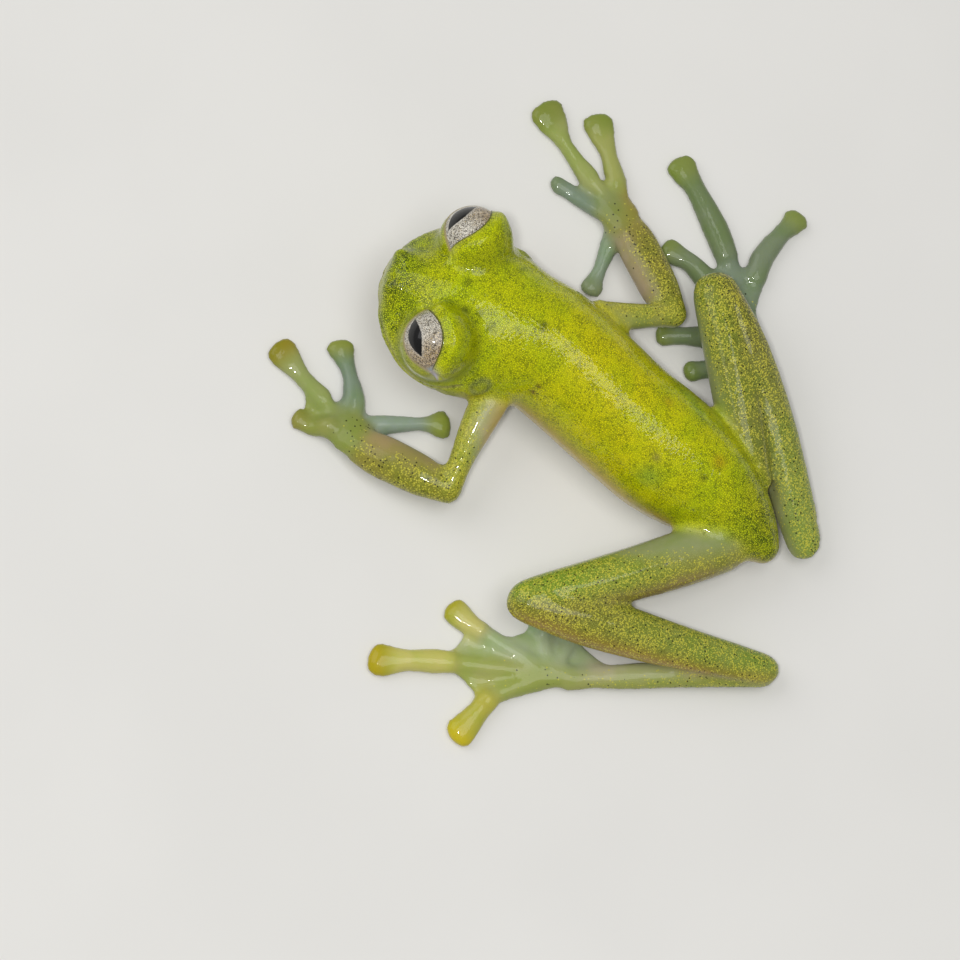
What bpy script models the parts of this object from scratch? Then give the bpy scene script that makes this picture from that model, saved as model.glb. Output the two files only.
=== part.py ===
"""A glass frog sitting with its feet spread, life size, as one named solid for each part of the body.

Metres, +Z up. The frog faces -Y and its left side is +X. All sizes below are in millimetres, and
floor level is zero. The finished figure stands on the middle of its own outline.
"""

import math

import bmesh
import bpy
import numpy as np
from mathutils import Matrix, Vector

MM = 0.001
GAP = 0.3
FLOOR = 0.0
UP = np.array([0.0, 0.0, 1.0])
CAP_TURNS = np.radians((28, 54, 76))

# Trunk, from the vent to the neck: x, y, half width, widest level, top, underside, fullness of the back
TRUNK = (
    (-5.9, 14.5, 0.45, 2.3, 2.8, 1.6, 1.9),
    (-6.2, 13.5, 1.15, 2.2, 3.5, 0.9, 1.9),
    (-6.7, 11.6, 2.05, 2.2, 4.5, 0.2, 1.9),
    (-7.0, 9.6, 2.75, 2.2, 5.2, -0.3, 1.9),
    (-7.1, 7.0, 3.25, 2.3, 5.7, -0.4, 1.9),
    (-7.2, 4.2, 3.2, 2.5, 6.0, -0.3, 1.9),
    (-7.5, 1.2, 3.25, 2.7, 6.3, 0.1, 1.9),
    (-7.6, -1.0, 3.35, 2.9, 6.5, 0.6, 1.9),
)

# Head, along its own axis from the neck: forward, half width, mouth level, top, underside, fullness
NECK = np.array([-7.05, -3.2, 0.0])
HEAD_YAW = math.radians(14)
HEAD_ROLL = math.radians(6)
ROLL_LEVEL = 3.3
ROLL_START = 0.72
HEAD = (
    (-0.6, 3.65, 3.05, 6.6, 1.0, 1.9),
    (0.6, 4.05, 3.1, 6.65, 1.3, 1.9),
    (2.0, 4.25, 3.2, 6.6, 1.7, 1.85),
    (3.4, 4.15, 3.35, 6.4, 2.05, 1.75),
    (4.6, 3.65, 3.5, 6.0, 2.4, 1.6),
    (5.6, 2.85, 3.65, 5.6, 2.7, 1.5),
    (6.3, 1.95, 3.75, 5.25, 2.95, 1.5),
    (6.7, 1.15, 3.8, 4.95, 3.2, 1.6),
    (6.9, 0.5, 3.85, 4.6, 3.45, 1.8),
)
NECK_CUT = -0.6
HEAD_AXIS = np.array([math.sin(HEAD_YAW), -math.cos(HEAD_YAW), 0.0])
LEVEL_LEFT = np.array([math.cos(HEAD_YAW), math.sin(HEAD_YAW), 0.0])
HEAD_LEFT = LEVEL_LEFT * math.cos(HEAD_ROLL) + UP * math.sin(HEAD_ROLL)
HEAD_UP = UP * math.cos(HEAD_ROLL) - LEVEL_LEFT * math.sin(HEAD_ROLL)
BELLY_POWER = 2.3

# Eyes, lids, ears and nostrils, with forward and sideways measured from the neck
EYE_RADIUS = 1.42
EYE_PLACE = (3.35, 2.9, 5.55)
EYE_GAP = 0.25
EYE_AZIMUTH = math.radians(37)
EYE_LIFT = math.radians(24)
LID_RADIUS = 1.95
LID_BLEND = 0.35
EYE_ROOT = 1.3
EYE_ROOT_LEAN = 0.6
LID_OPENING = (1.2, 1.45, 1.1)
LID_OPENING_REACH = 1.3
EAR_PLACE = (0.75, 4.1)
EAR_RADIUS = 0.42
EAR_RIM = 0.13
RIM_STEPS = 14
RIM_SIDES = 6
NOSTRIL_PLACE = (6.4, 0.75)
NOSTRIL_RADIUS = 0.18
NOSTRIL_PROUD = 0.03
NOSTRIL_SWELL = 0.14
NOSTRIL_SPREAD = 0.38
NOSTRIL_RISE = 0.2
NOSTRIL_WAY = (1.0, 0.7, 0.9)
MOUTH_DEPTH = 0.22
LIP_SWELL = 0.07
MOUTH_CORNER = 1.3
MOUTH_EASE = 0.6

# Limb thickness: share of the length, half width, half height
UPPER_ARM = ((0.0, 0.95, 0.9), (0.45, 0.78, 0.74), (0.8, 0.62, 0.64), (1.0, 0.7, 0.7))
FOREARM = ((0.0, 0.74, 0.72), (0.3, 0.96, 0.86), (0.7, 0.86, 0.74), (1.0, 0.72, 0.58))
PALM = ((0.0, 0.7, 0.52), (0.5, 0.98, 0.5), (1.0, 0.9, 0.42))
THIGH = ((0.0, 0.95, 1.0), (0.35, 1.12, 1.15), (0.7, 1.16, 1.15), (1.0, 1.0, 1.0))
SHANK = ((0.0, 1.0, 1.0), (0.25, 1.25, 1.12), (0.6, 1.05, 0.98), (1.0, 0.72, 0.7))
TARSUS = ((0.0, 0.66, 0.62), (0.5, 0.52, 0.44), (1.0, 0.56, 0.4))

# Joint places of each limb, from the trunk outwards
ARMS = {
    "left": (
        (-5.6, -1.9, 3.5), (-1.8, -1.5, 2.9), (1.1, -1.0, 2.0),
        (1.65, -5.7, 1.0), (1.2, -7.2, 0.6),
    ),
    "right": (
        (-9.3, -1.6, 3.6), (-11.4, 1.2, 3.0), (-13.3, 3.2, 2.2),
        (-15.9, -0.9, 1.0), (-16.6, -2.4, 0.6),
    ),
}
LEGS = {
    "left": (
        (-6.6, 13.0, 2.3), (-1.2, 9.3, 2.6), (3.5, 5.4, 2.75),
        (1.4, 11.2, 2.2), (-1.15, 17.3, 1.0),
    ),
    "right": (
        (-6.9, 12.6, 2.6), (-11.5, 8.35, 2.8), (-15.3, 4.2, 2.85),
        (-11.8, 9.8, 2.4), (-7.85, 15.2, 1.1),
    ),
}
FOOT_BASE = {"left": (4.35, 10.3, 0.5), "right": (-15.3, 7.2, 0.5)}

# Fingers: way from the palm to the middle of the disc, then half width and disc radius
FINGERS = {
    "left": (
        (((0.9, -6.7), (-0.8, -4.7), (-1.8, -3.3)), 0.36, 0.57),
        (((0.7, -7.2), (-1.05, -8.4), (-1.9, -9.3)), 0.44, 0.66),
        (((0.9, -7.6), (0.4, -10.0), (-0.05, -11.5)), 0.48, 0.82),
        (((1.5, -7.4), (2.2, -8.3), (2.2, -8.95)), 0.42, 0.46),
    ),
    "right": (
        (((-15.9, -1.8), (-13.9, -1.2), (-12.6, -0.9)), 0.42, 0.55),
        (((-16.2, -2.4), (-15.95, -3.8), (-16.1, -5.1)), 0.4, 0.66),
        (((-16.7, -2.8), (-17.6, -5.6), (-18.6, -7.7)), 0.48, 0.9),
        (((-16.9, -2.5), (-18.7, -4.2), (-19.7, -5.3)), 0.48, 0.8),
    ),
}
FINGER_ARCH = {"left": (0.35, 0.4, 0.4, 0.75), "right": (0.35, 0.4, 0.4, 0.4)}

# Toes: where the toe leaves the web, a bend, the middle of the disc, half width and disc radius
TOES = {
    "left": (
        ((3.0, 8.6), (2.6, 8.1), (2.2, 7.5), 0.36, 0.46),
        ((3.7, 7.1), (3.2, 6.3), (2.7, 5.4), 0.38, 0.5),
        ((5.6, 4.7), (5.65, 4.0), (5.55, 3.1), 0.42, 0.58),
        ((7.7, 4.4), (8.6, 3.0), (9.8, 1.35), 0.46, 0.72),
        ((8.0, 6.85), (9.1, 6.75), (10.3, 6.65), 0.46, 0.68),
    ),
    "right": (
        ((-13.6, 7.0), (-12.9, 6.6), (-12.1, 5.8), 0.38, 0.46),
        ((-14.2, 5.6), (-13.6, 4.8), (-12.8, 3.6), 0.38, 0.5),
        ((-16.3, 4.1), (-16.7, 2.8), (-16.6, 1.4), 0.42, 0.58),
        ((-18.0, 4.0), (-19.5, 1.8), (-20.6, -0.6), 0.5, 0.7),
        ((-17.9, 5.8), (-19.6, 5.35), (-21.9, 5.7), 0.44, 0.56),
    ),
}

# Digits and webs: levels and half heights, with widths as shares and places in disc radii from the end
DIGIT_HEIGHT = 0.34
ARCH_RISE = 0.1
KNUCKLE_SHARE = 0.45
KNUCKLE_WIDTH = 1.05
DIGIT_NECK_BACK = 1.9
DIGIT_NECK_WIDTH = 0.86
DIGIT_NECK_HEIGHT = 0.95
DISC_EDGE_BACK = 0.75
DISC_EDGE_WIDTH = 0.86
DISC_HEIGHT = 0.3
DISC_LEVEL = 0.26
TOE_LEVEL = 0.32
RAY_HEIGHT = 0.36
WEB_TOP = 0.5
WEB_NOTCH = 0.32
RAY_PARTING = 0.42
FOOT_ROOT = ((-0.4, 0.56, 0.42), (0.9, 0.62, 0.36))
BELOW_FLOOR = 0.2
TOE_BOX = np.array([1.2, 1.0, 1.5])

# Finish: red, green and blue of the base colour, then roughness
SKIN_BACK = (0.42, 0.5, 0.03, 0.32)
SKIN_LIMB = (0.4, 0.42, 0.1, 0.3)
SKIN_DIGIT = (0.55, 0.56, 0.16, 0.28)
SKIN_WEB = (0.3, 0.42, 0.32, 0.25)
EYE_IRIS = (0.7, 0.7, 0.55, 0.08)


def smooth(stations, steps):
    """Rows of numbers on a smooth curve that passes through every station."""
    rows = np.array(stations, float)
    rows = np.vstack([2 * rows[0] - rows[1], rows, 2 * rows[-1] - rows[-2]])
    found = []
    for before, start, end, after in zip(rows, rows[1:], rows[2:], rows[3:]):
        for t in np.arange(steps) / steps:
            cubic = (3 * start - before - 3 * end + after) * t**3
            square = (2 * before - 5 * start + 4 * end - after) * t**2
            found.append(start + 0.5 * ((end - before) * t + square + cubic))
    return np.array(found + [rows[-2]])


def unit(vector):
    return np.asarray(vector, float) / np.linalg.norm(vector)


def directions(centres):
    return np.array([unit(v) for v in np.gradient(centres, axis=0)])


def ring(centre, along, half_width, half_height, sides):
    """An upright ellipse across the direction along."""
    side = unit(np.cross(UP, along))
    lift = np.cross(along, side)
    turn = np.linspace(0, 2 * math.pi, sides, endpoint=False)[:, None]
    return centre + side * half_width * np.cos(turn) + lift * half_height * np.sin(turn)


def mesh_object(name, points, faces):
    mesh = bpy.data.meshes.new(name)
    mesh.from_pydata([Vector(p) * MM for p in points], [], faces)
    made = bmesh.new()
    made.from_mesh(mesh)
    bmesh.ops.recalc_face_normals(made, faces=made.faces)
    made.to_mesh(mesh)
    made.free()
    obj = bpy.data.objects.new(name, mesh)
    bpy.context.scene.collection.objects.link(obj)
    return obj


def loft(name, rings, front=None):
    """A closed body through rings of equal count. Faces of a front may close its last ring."""
    sides = len(rings[0])
    last = (len(rings) - 1) * sides
    faces = [tuple(range(sides))]
    for start in range(0, last, sides):
        for s in range(sides):
            t = (s + 1) % sides
            faces.append((start + s, start + t, start + sides + t, start + sides + s))
    if front:
        faces += [tuple(last + p for p in face) for face in front]
    else:
        faces.append(tuple(last + s for s in range(sides)))
    return mesh_object(name, np.concatenate(rings), faces)


def tube(name, stations, sides=12, steps=3, grow=0.0):
    """A limb with round ends through stations of x, y, z, half width and half height."""
    rows = smooth(stations, steps)
    along = directions(rows[:, :3])
    half = rows[:, 3:] + grow
    rings = [ring(c, a, w, h, sides) for c, a, (w, h) in zip(rows[:, :3], along, half)]
    caps = []
    for end, sign in ((0, -1), (-1, 1)):
        cap = []
        for turn in CAP_TURNS:
            centre = rows[end, :3] + sign * along[end] * half[end, 0] * math.sin(turn)
            cap.append(ring(centre, along[end], *(half[end] * math.cos(turn)), sides))
        caps.append(cap)
    return loft(name, caps[0][::-1] + rings + caps[1])


def replace_mesh(obj, made):
    made.to_mesh(obj.data)
    made.free()


def plane_cut(obj, point, normal):
    """Takes away what lies past the plane on its normal's side, and closes the body there."""
    made = bmesh.new()
    made.from_mesh(obj.data)
    geometry = made.verts[:] + made.edges[:] + made.faces[:]
    at, away = Vector(point) * MM, Vector(normal)
    bmesh.ops.bisect_plane(made, geom=geometry, dist=1e-7, plane_co=at, plane_no=away, clear_outer=True)
    edges = [edge for edge in made.edges if edge.is_boundary]
    bmesh.ops.holes_fill(made, edges=edges)
    bmesh.ops.recalc_face_normals(made, faces=made.faces)
    replace_mesh(obj, made)


def set_on_floor(obj):
    plane_cut(obj, (0, 0, FLOOR), (0, 0, -1))


def boolean(obj, others, operation):
    """Joins or cuts with the EXACT solver, applies the result and removes the other objects."""
    helpers = bpy.data.collections.new("helpers")
    for other in others:
        helpers.objects.link(other)
    modifier = obj.modifiers.new(operation, "BOOLEAN")
    modifier.operation = operation
    modifier.operand_type = "COLLECTION"
    modifier.collection = helpers
    modifier.solver = "EXACT"
    graph = bpy.context.evaluated_depsgraph_get()
    mesh = bpy.data.meshes.new_from_object(obj.evaluated_get(graph))
    obj.modifiers.clear()
    obj.data = mesh
    for other in others:
        bpy.data.objects.remove(other)
    bpy.data.collections.remove(helpers)
    keep_largest(obj)


def keep_largest(obj):
    made = bmesh.new()
    made.from_mesh(obj.data)
    left = set(made.verts)
    pieces = []
    while left:
        piece, reached = set(), [left.pop()]
        while reached:
            vertex = reached.pop()
            piece.add(vertex)
            near = {edge.other_vert(vertex) for edge in vertex.link_edges} & left
            left -= near
            reached += near
        pieces.append(piece)
    pieces.sort(key=len)
    bmesh.ops.delete(made, geom=[v for piece in pieces[:-1] for v in piece], context="VERTS")
    replace_mesh(obj, made)


def body_ring(centre, side, rise, row, upper, lower):
    """A ring across the trunk or head, broad below and domed above, from the middle of the back."""
    half_width, level, top, under, fullness = row
    over = np.linspace(90, 0, upper, endpoint=False)
    turn = np.radians(np.concatenate([over, np.linspace(0, -90, lower)]))
    wide, tall = np.cos(turn), np.sin(turn)
    raised = tall >= 0
    power = np.where(raised, fullness, BELLY_POWER)
    across = half_width * np.abs(wide) ** (2 / power)
    height = np.where(raised, top - level, level - under) * np.sign(tall) * np.abs(tall) ** (2 / power)
    spine = centre + UP * ROLL_LEVEL + np.outer(level + height - ROLL_LEVEL, rise)
    left = spine + np.outer(across, side)
    right = spine - np.outer(across, side)
    return np.vstack([left, right[-2:0:-1]])


def trunk_rings(grow=0.0, upper=12, lower=6):
    rows = smooth(TRUNK + (neck_station(),), 3)
    centres = np.column_stack([rows[:, :2], np.zeros(len(rows))])
    sides = [unit(np.cross(UP, a)) for a in directions(centres)]
    share = np.linspace(0, 1, len(rows))
    rolls = HEAD_ROLL * np.clip((share - ROLL_START) / (1 - ROLL_START), 0, 1)
    rings = []
    for centre, side, roll, row in zip(centres, sides, rolls, rows[:, 2:]):
        across = side * math.cos(roll) + UP * math.sin(roll)
        rise = UP * math.cos(roll) - side * math.sin(roll)
        rings.append(body_ring(centre, across, rise, row + swelling(grow), upper, lower))
    return rings


def swelling(grow):
    """What a body's width, top and underside gain when it swells."""
    return np.array([grow, 0.0, grow, -grow, 0.0])


def neck_station():
    place = NECK + HEAD_AXIS * HEAD[0][0]
    return (place[0], place[1], *HEAD[0][1:])


def head_point(forward, sideways, level=0.0):
    spine = NECK + HEAD_AXIS * forward + UP * ROLL_LEVEL
    return spine + HEAD_LEFT * sideways + HEAD_UP * (level - ROLL_LEVEL)


def eye_centre(sign):
    forward, sideways, level = EYE_PLACE
    return head_point(forward, sign * sideways, level)


def eye_axis(sign):
    level = HEAD_AXIS * math.cos(EYE_AZIMUTH) + sign * HEAD_LEFT * math.sin(EYE_AZIMUTH)
    return level * math.cos(EYE_LIFT) + UP * math.sin(EYE_LIFT)


def swell_eye(points, sign, radius):
    """Pushes the head out over a ball round the eye, easing into the head at its edge."""
    centre = eye_centre(sign)
    root = centre - unit(sign * HEAD_LEFT * EYE_ROOT_LEAN + HEAD_UP) * EYE_ROOT
    reach = np.linalg.norm(points - root, axis=-1, keepdims=True)
    out = (points - root) / reach
    slant = (out * (root - centre)).sum(axis=-1, keepdims=True)
    ball = np.sqrt(slant**2 + radius**2 - ((root - centre) ** 2).sum()) - slant
    blend = np.clip(0.5 + 0.5 * (reach - ball) / LID_BLEND, 0, 1)
    return root + out * (reach * blend + ball * (1 - blend) + LID_BLEND * blend * (1 - blend))


def outward(grid):
    """The outward direction at each point of a grid of rings."""
    forward = np.gradient(grid, axis=0)
    wrapped = np.concatenate([grid[:, -1:], grid, grid[:, :1]], axis=1)
    around = (wrapped[:, 2:] - wrapped[:, :-2]) / 2
    normal = np.cross(forward, around)
    return normal / np.maximum(np.linalg.norm(normal, axis=-1, keepdims=True), 1e-9)


def head_grid(grow=0.0, upper=20, lower=8, steps=3):
    rows = smooth(HEAD, steps)
    rings = []
    for row in rows:
        spine = NECK + HEAD_AXIS * row[0]
        rings.append(body_ring(spine, HEAD_LEFT, HEAD_UP, row[1:] + swelling(grow), upper, lower))
    grid = np.array(rings)
    for sign in (1, -1):
        grid = swell_eye(grid, sign, LID_RADIUS + grow)
    return grid, rows[:, 0], upper


def head_faces(sides):
    """Faces across the snout from the points of its left side to those of its right."""
    middle = sides // 2
    faces = [(0, 1, sides - 1), (middle - 1, middle, middle + 1)]
    faces += [(s, s + 1, sides - s - 1, sides - s) for s in range(1, middle - 1)]
    return faces


def model_head():
    grid, forward, mouth = head_grid()
    normal = outward(grid)
    inside = grid.mean(axis=1, keepdims=True)
    normal *= np.sign(((grid - inside) * normal).sum(axis=-1, keepdims=True))
    sides = grid.shape[1]
    depth = np.zeros(grid.shape[:2])
    open_mouth = np.clip((forward - MOUTH_CORNER) / MOUTH_EASE, 0, 1)
    for row, amount in ((mouth, -MOUTH_DEPTH), (mouth - 1, LIP_SWELL), (mouth + 1, LIP_SWELL)):
        for column in (row, sides - row):
            depth[:, column] += amount * open_mouth
    for sign in (1, -1):
        place = nostril_place(sign, grid)
        near = ((grid - place) ** 2).sum(axis=-1)
        depth += NOSTRIL_SWELL * np.exp(-near / NOSTRIL_SPREAD**2)
    grid = grid + normal * depth[..., None]
    head = loft("head", list(grid), head_faces(sides))
    plane_cut(head, NECK + HEAD_AXIS * (NECK_CUT + GAP / 2), -HEAD_AXIS)
    boolean(head, [ear_rim(head, sign) for sign in (1, -1)], "UNION")
    hollows = []
    for sign in (1, -1):
        hollows += eye_hollows(sign) + [nostril_pit(sign, nostril_place(sign, grid))]
    boolean(head, hollows, "DIFFERENCE")
    return head


def surface_place(head, start, away):
    """Where a line from inside the head leaves its surface."""
    hit, place, normal, _ = head.ray_cast(Vector(start) * MM, Vector(away))
    return np.array(place) / MM, np.array(normal)


def nostril_place(sign, grid):
    """The point of the upper snout nearest to the nostril's place seen from above."""
    target = head_point(NOSTRIL_PLACE[0], sign * NOSTRIL_PLACE[1])
    points = grid.reshape(-1, 3)
    high = points[points[:, 2] > HEAD[-1][2] + NOSTRIL_RISE]
    nearest = np.argmin(((high - target)[:, :2] ** 2).sum(axis=1))
    return high[nearest]


def ball(name, centre, radii, frame=None, segments=20, rounds=12):
    """A ball with a radius along each direction of a frame."""
    made = bmesh.new()
    bmesh.ops.create_uvsphere(made, u_segments=segments, v_segments=rounds, radius=1.0)
    frame = np.eye(3) if frame is None else np.array(frame)
    shape = Matrix((frame.T * np.array(radii) * MM).tolist()).to_4x4()
    bmesh.ops.transform(made, matrix=Matrix.Translation(Vector(centre) * MM) @ shape, verts=made.verts)
    bmesh.ops.recalc_face_normals(made, faces=made.faces)
    mesh = bpy.data.meshes.new(name)
    made.to_mesh(mesh)
    made.free()
    obj = bpy.data.objects.new(name, mesh)
    bpy.context.scene.collection.objects.link(obj)
    return obj


def eye_hollows(sign):
    """The socket, and the opening between the lids in front of it."""
    centre, axis = eye_centre(sign), eye_axis(sign)
    level = unit(np.cross(UP, axis))
    upright = np.cross(axis, level)
    socket = ball("socket", centre, [EYE_RADIUS + EYE_GAP] * 3, segments=24, rounds=14)
    reach = centre + axis * LID_OPENING_REACH
    opening = ball("opening", reach, LID_OPENING, (axis, level, upright), segments=24, rounds=14)
    return [socket, opening]


def nostril_pit(sign, place):
    forward, sideways, rise = NOSTRIL_WAY
    away = unit(HEAD_AXIS * forward + sign * HEAD_LEFT * sideways + HEAD_UP * rise)
    return ball("pit", place + away * NOSTRIL_PROUD, [NOSTRIL_RADIUS] * 3, segments=10, rounds=6)


def ear_rim(head, sign):
    """A raised ring round the eardrum, on the side of the head behind the eye."""
    forward, level = EAR_PLACE
    place, normal = surface_place(head, head_point(forward, sign * 1.0, level), sign * HEAD_LEFT)
    side = unit(np.cross(UP, normal))
    rise = np.cross(normal, side)
    rings = []
    bead = np.linspace(0, 2 * math.pi, RIM_SIDES, endpoint=False)[:, None]
    for turn in np.linspace(0, 2 * math.pi, RIM_STEPS, endpoint=False):
        out = side * math.cos(turn) + rise * math.sin(turn)
        middle = place + out * EAR_RADIUS
        rings.append(middle + EAR_RIM * (out * np.cos(bead) + normal * np.sin(bead)))
    count = RIM_STEPS * RIM_SIDES
    faces = []
    for start in range(0, count, RIM_SIDES):
        after = (start + RIM_SIDES) % count
        for s in range(RIM_SIDES):
            t = (s + 1) % RIM_SIDES
            faces.append((start + s, start + t, after + t, after + s))
    return mesh_object("rim", np.concatenate(rings), faces)


def model_trunk():
    trunk = loft("torso", trunk_rings())
    plane_cut(trunk, NECK + HEAD_AXIS * (NECK_CUT - GAP / 2), HEAD_AXIS)
    set_on_floor(trunk)
    return trunk


def body_clearance():
    """The trunk and head swollen by the gap, to trim whatever grows from them."""
    trunk = loft("trunk_room", trunk_rings(GAP, 10, 5))
    grid, _, _ = head_grid(GAP, 12, 5, 2)
    rings = [grid[0] - HEAD_AXIS] + list(grid)
    return [trunk, loft("head_room", rings, head_faces(grid.shape[1]))]


def limb_stations(way, profile):
    """Stations of a limb along the curve through its places, thickened by its profile."""
    curve = smooth(way, 8)
    length = np.concatenate([[0], np.cumsum(np.linalg.norm(np.diff(curve, axis=0), axis=1))])
    share = np.array([row[0] for row in profile]) * length[-1]
    places = [np.interp(share, length, curve[:, axis]) for axis in range(3)]
    sizes = [[row[1] for row in profile], [row[2] for row in profile]]
    return np.column_stack(places + sizes)


def part_at_joint(inner, outer, joint, inner_start, outer_end):
    """Parts two limb bones at their joint, on the plane halfway between them, with the gap."""
    normal = unit(unit(joint - inner_start) + unit(outer_end - joint))
    plane_cut(inner, joint - normal * GAP / 2, normal)
    plane_cut(outer, joint + normal * GAP / 2, -normal)


def model_arm(side):
    shoulder, bend, elbow, wrist, palm_end = (np.array(p, float) for p in ARMS[side])
    upper = tube(f"upper_arm_{side}", limb_stations((shoulder, bend, elbow), UPPER_ARM))
    fore = tube(f"forearm_{side}", limb_stations((elbow, wrist), FOREARM))
    palm = tube(f"hand_{side}", limb_stations((wrist, palm_end), PALM), steps=2)
    part_at_joint(upper, fore, elbow, bend, wrist)
    part_at_joint(fore, palm, wrist, elbow, palm_end)
    boolean(upper, body_clearance(), "DIFFERENCE")
    set_on_floor(palm)
    fingers = [model_finger(side, number) for number in range(4)]
    part_fingers(side, fingers, palm_end)
    for finger in fingers:
        room = tube("palm_room", limb_stations((wrist, palm_end), PALM), steps=2, grow=GAP)
        boolean(finger, [room], "DIFFERENCE")
    return [upper, fore, palm] + fingers


def part_fingers(side, fingers, palm_end):
    """Keeps each finger to its own share of the palm's edge."""
    middle = palm_end * (1, 1, 0)
    aims = [unit(np.array((*finger[0][1], 0.0)) - middle) for finger in FINGERS[side]]
    for number in range(len(fingers) - 1):
        normal = unit(aims[number + 1] - aims[number])
        plane_cut(fingers[number], middle - normal * GAP / 2, normal)
        plane_cut(fingers[number + 1], middle + normal * GAP / 2, -normal)


def digit_stations(way, arch, half_width, disc):
    """Stations of a digit: a stem with a slight knuckle, a narrow neck and a flat round disc."""
    start, bend, end = (np.array((*p, 0.0)) for p in way)
    curve = smooth((start, bend, end), 8)
    length = np.concatenate([[0], np.cumsum(np.linalg.norm(np.diff(curve, axis=0), axis=1))])
    whole = length[-1]
    neck_height = DIGIT_HEIGHT * DIGIT_NECK_HEIGHT
    profile = (
        (0.0, arch + ARCH_RISE, half_width, DIGIT_HEIGHT),
        (KNUCKLE_SHARE * (whole - 2 * disc), arch, half_width * KNUCKLE_WIDTH, DIGIT_HEIGHT),
        (whole - DIGIT_NECK_BACK * disc, TOE_LEVEL, half_width * DIGIT_NECK_WIDTH, neck_height),
        (whole - DISC_EDGE_BACK * disc, DISC_LEVEL, disc * DISC_EDGE_WIDTH, DISC_HEIGHT),
        (whole, DISC_LEVEL, disc, DISC_HEIGHT),
    )
    share = [row[0] for row in profile]
    places = [np.interp(share, length, curve[:, axis]) for axis in range(2)]
    return np.column_stack(places + [[row[k] for row in profile] for k in (1, 2, 3)])


def model_finger(side, number):
    way, half_width, disc = FINGERS[side][number]
    stations = digit_stations(way, FINGER_ARCH[side][number], half_width, disc)
    finger = tube(f"finger_{side}_{number + 1}", stations, sides=10, steps=2)
    set_on_floor(finger)
    return finger


def ray_parting(base, leave, longest):
    """Where a ray swings away from the longest one, which all of them follow at first."""
    return base + RAY_PARTING * ((leave - base) + (longest - base)) / 2


def web_plate(base, first_root, first, second_root, second):
    """A membrane between two rays, with its free edge notched towards the foot's base."""
    ends = (base, first_root, first, second_root, second)
    base, first_root, first, second_root, second = (np.array(p[:2], float) for p in ends)
    notch = (first + second) / 2 * (1 - WEB_NOTCH) + base * WEB_NOTCH
    edge = [first * (1 - t) ** 2 + 2 * notch * t * (1 - t) + second * t**2 for t in np.linspace(0, 1, 6)]
    outline = [base, first_root] + edge + [second_root]
    rings = [[(*p, level) for p in outline] for level in (FLOOR - BELOW_FLOOR, WEB_TOP)]
    return loft("web", [np.array(r) for r in rings])


def model_foot(side):
    base = np.array(FOOT_BASE[side])
    leaves = [np.array((*toe[0], TOE_LEVEL)) for toe in TOES[side]]
    rays = []
    partings = [ray_parting(base, leave, leaves[3]) for leave in leaves]
    for toe, parting, leave in zip(TOES[side], partings, leaves):
        width = toe[3]
        sizes = (width, RAY_HEIGHT)
        stations = [(*base, *sizes), (*parting, *sizes), (*leave, width, DIGIT_HEIGHT)]
        rays.append(tube("ray", stations, sides=10, steps=2))
    webs = [web_plate(base, *pair) for pair in zip(partings, leaves, partings[1:], leaves[1:])]
    foot = tube(f"foot_{side}", foot_root(side), sides=10, steps=2)
    boolean(foot, rays + webs, "UNION")
    for toe, leave in zip(TOES[side], leaves):
        boolean(foot, [toe_room(leave, unit(np.array((*toe[1], TOE_LEVEL)) - leave))], "DIFFERENCE")
    set_on_floor(foot)
    return foot


def foot_root(side):
    """The heel end of the foot, between the tarsus and the rays."""
    base = np.array(FOOT_BASE[side])
    ankle = np.array(LEGS[side][4])
    away = unit(base - ankle)
    return np.array([(*(base + away * step), *sizes) for step, *sizes in FOOT_ROOT])


def toe_room(leave, along):
    """A box that ends a ray of the foot where its toe starts, less half the gap."""
    half_length, half_width, half_height = TOE_BOX
    side = unit(np.cross(UP, along))
    signs = ((-1, -1), (1, -1), (1, 1), (-1, 1))
    corners = [side * half_width * a + UP * half_height * b for a, b in signs]
    return loft("toe_room", [leave + along * step + corners for step in (-GAP / 2, 2 * half_length)])


def model_toe(side, number):
    leave, bend, end, half_width, disc = TOES[side][number]
    stations = digit_stations((leave, bend, end), TOE_LEVEL, half_width, disc)
    toe = tube(f"toe_{side}_{number + 1}", stations, sides=10, steps=2)
    along = unit(np.array((*bend, 0.0)) - np.array((*leave, 0.0)))
    plane_cut(toe, np.array((*leave, TOE_LEVEL)) + along * GAP / 2, -along)
    set_on_floor(toe)
    return toe


def model_leg(side):
    hip, middle, knee, calf, heel = (np.array(p, float) for p in LEGS[side])
    base = np.array(FOOT_BASE[side])
    thigh = tube(f"thigh_{side}", limb_stations((hip, middle, knee), THIGH))
    shank = tube(f"shank_{side}", limb_stations((knee, calf, heel), SHANK))
    tarsus = tube(f"tarsus_{side}", limb_stations((heel, base), TARSUS), steps=2)
    foot = model_foot(side)
    part_at_joint(thigh, shank, knee, middle, calf)
    part_at_joint(shank, tarsus, heel, calf, base)
    along = unit(base - heel)
    plane_cut(tarsus, base - along * GAP / 2, along)
    plane_cut(foot, base + along * GAP / 2, -along)
    boolean(thigh, body_clearance(), "DIFFERENCE")
    set_on_floor(tarsus)
    toes = [model_toe(side, number) for number in range(5)]
    return [thigh, shank, tarsus, foot] + toes


def finish(obj, colour):
    material = bpy.data.materials.new(obj.name)
    material.use_nodes = True
    shader = material.node_tree.nodes["Principled BSDF"]
    shader.inputs["Base Color"].default_value = (*colour[:3], 1.0)
    shader.inputs["Roughness"].default_value = colour[3]
    shader.inputs["Metallic"].default_value = 0.0
    material.diffuse_color = (*colour[:3], 1.0)
    obj.data.materials.clear()
    obj.data.materials.append(material)
    obj.data.shade_smooth()
    obj.data.set_sharp_from_angle(angle=math.radians(45))


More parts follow.
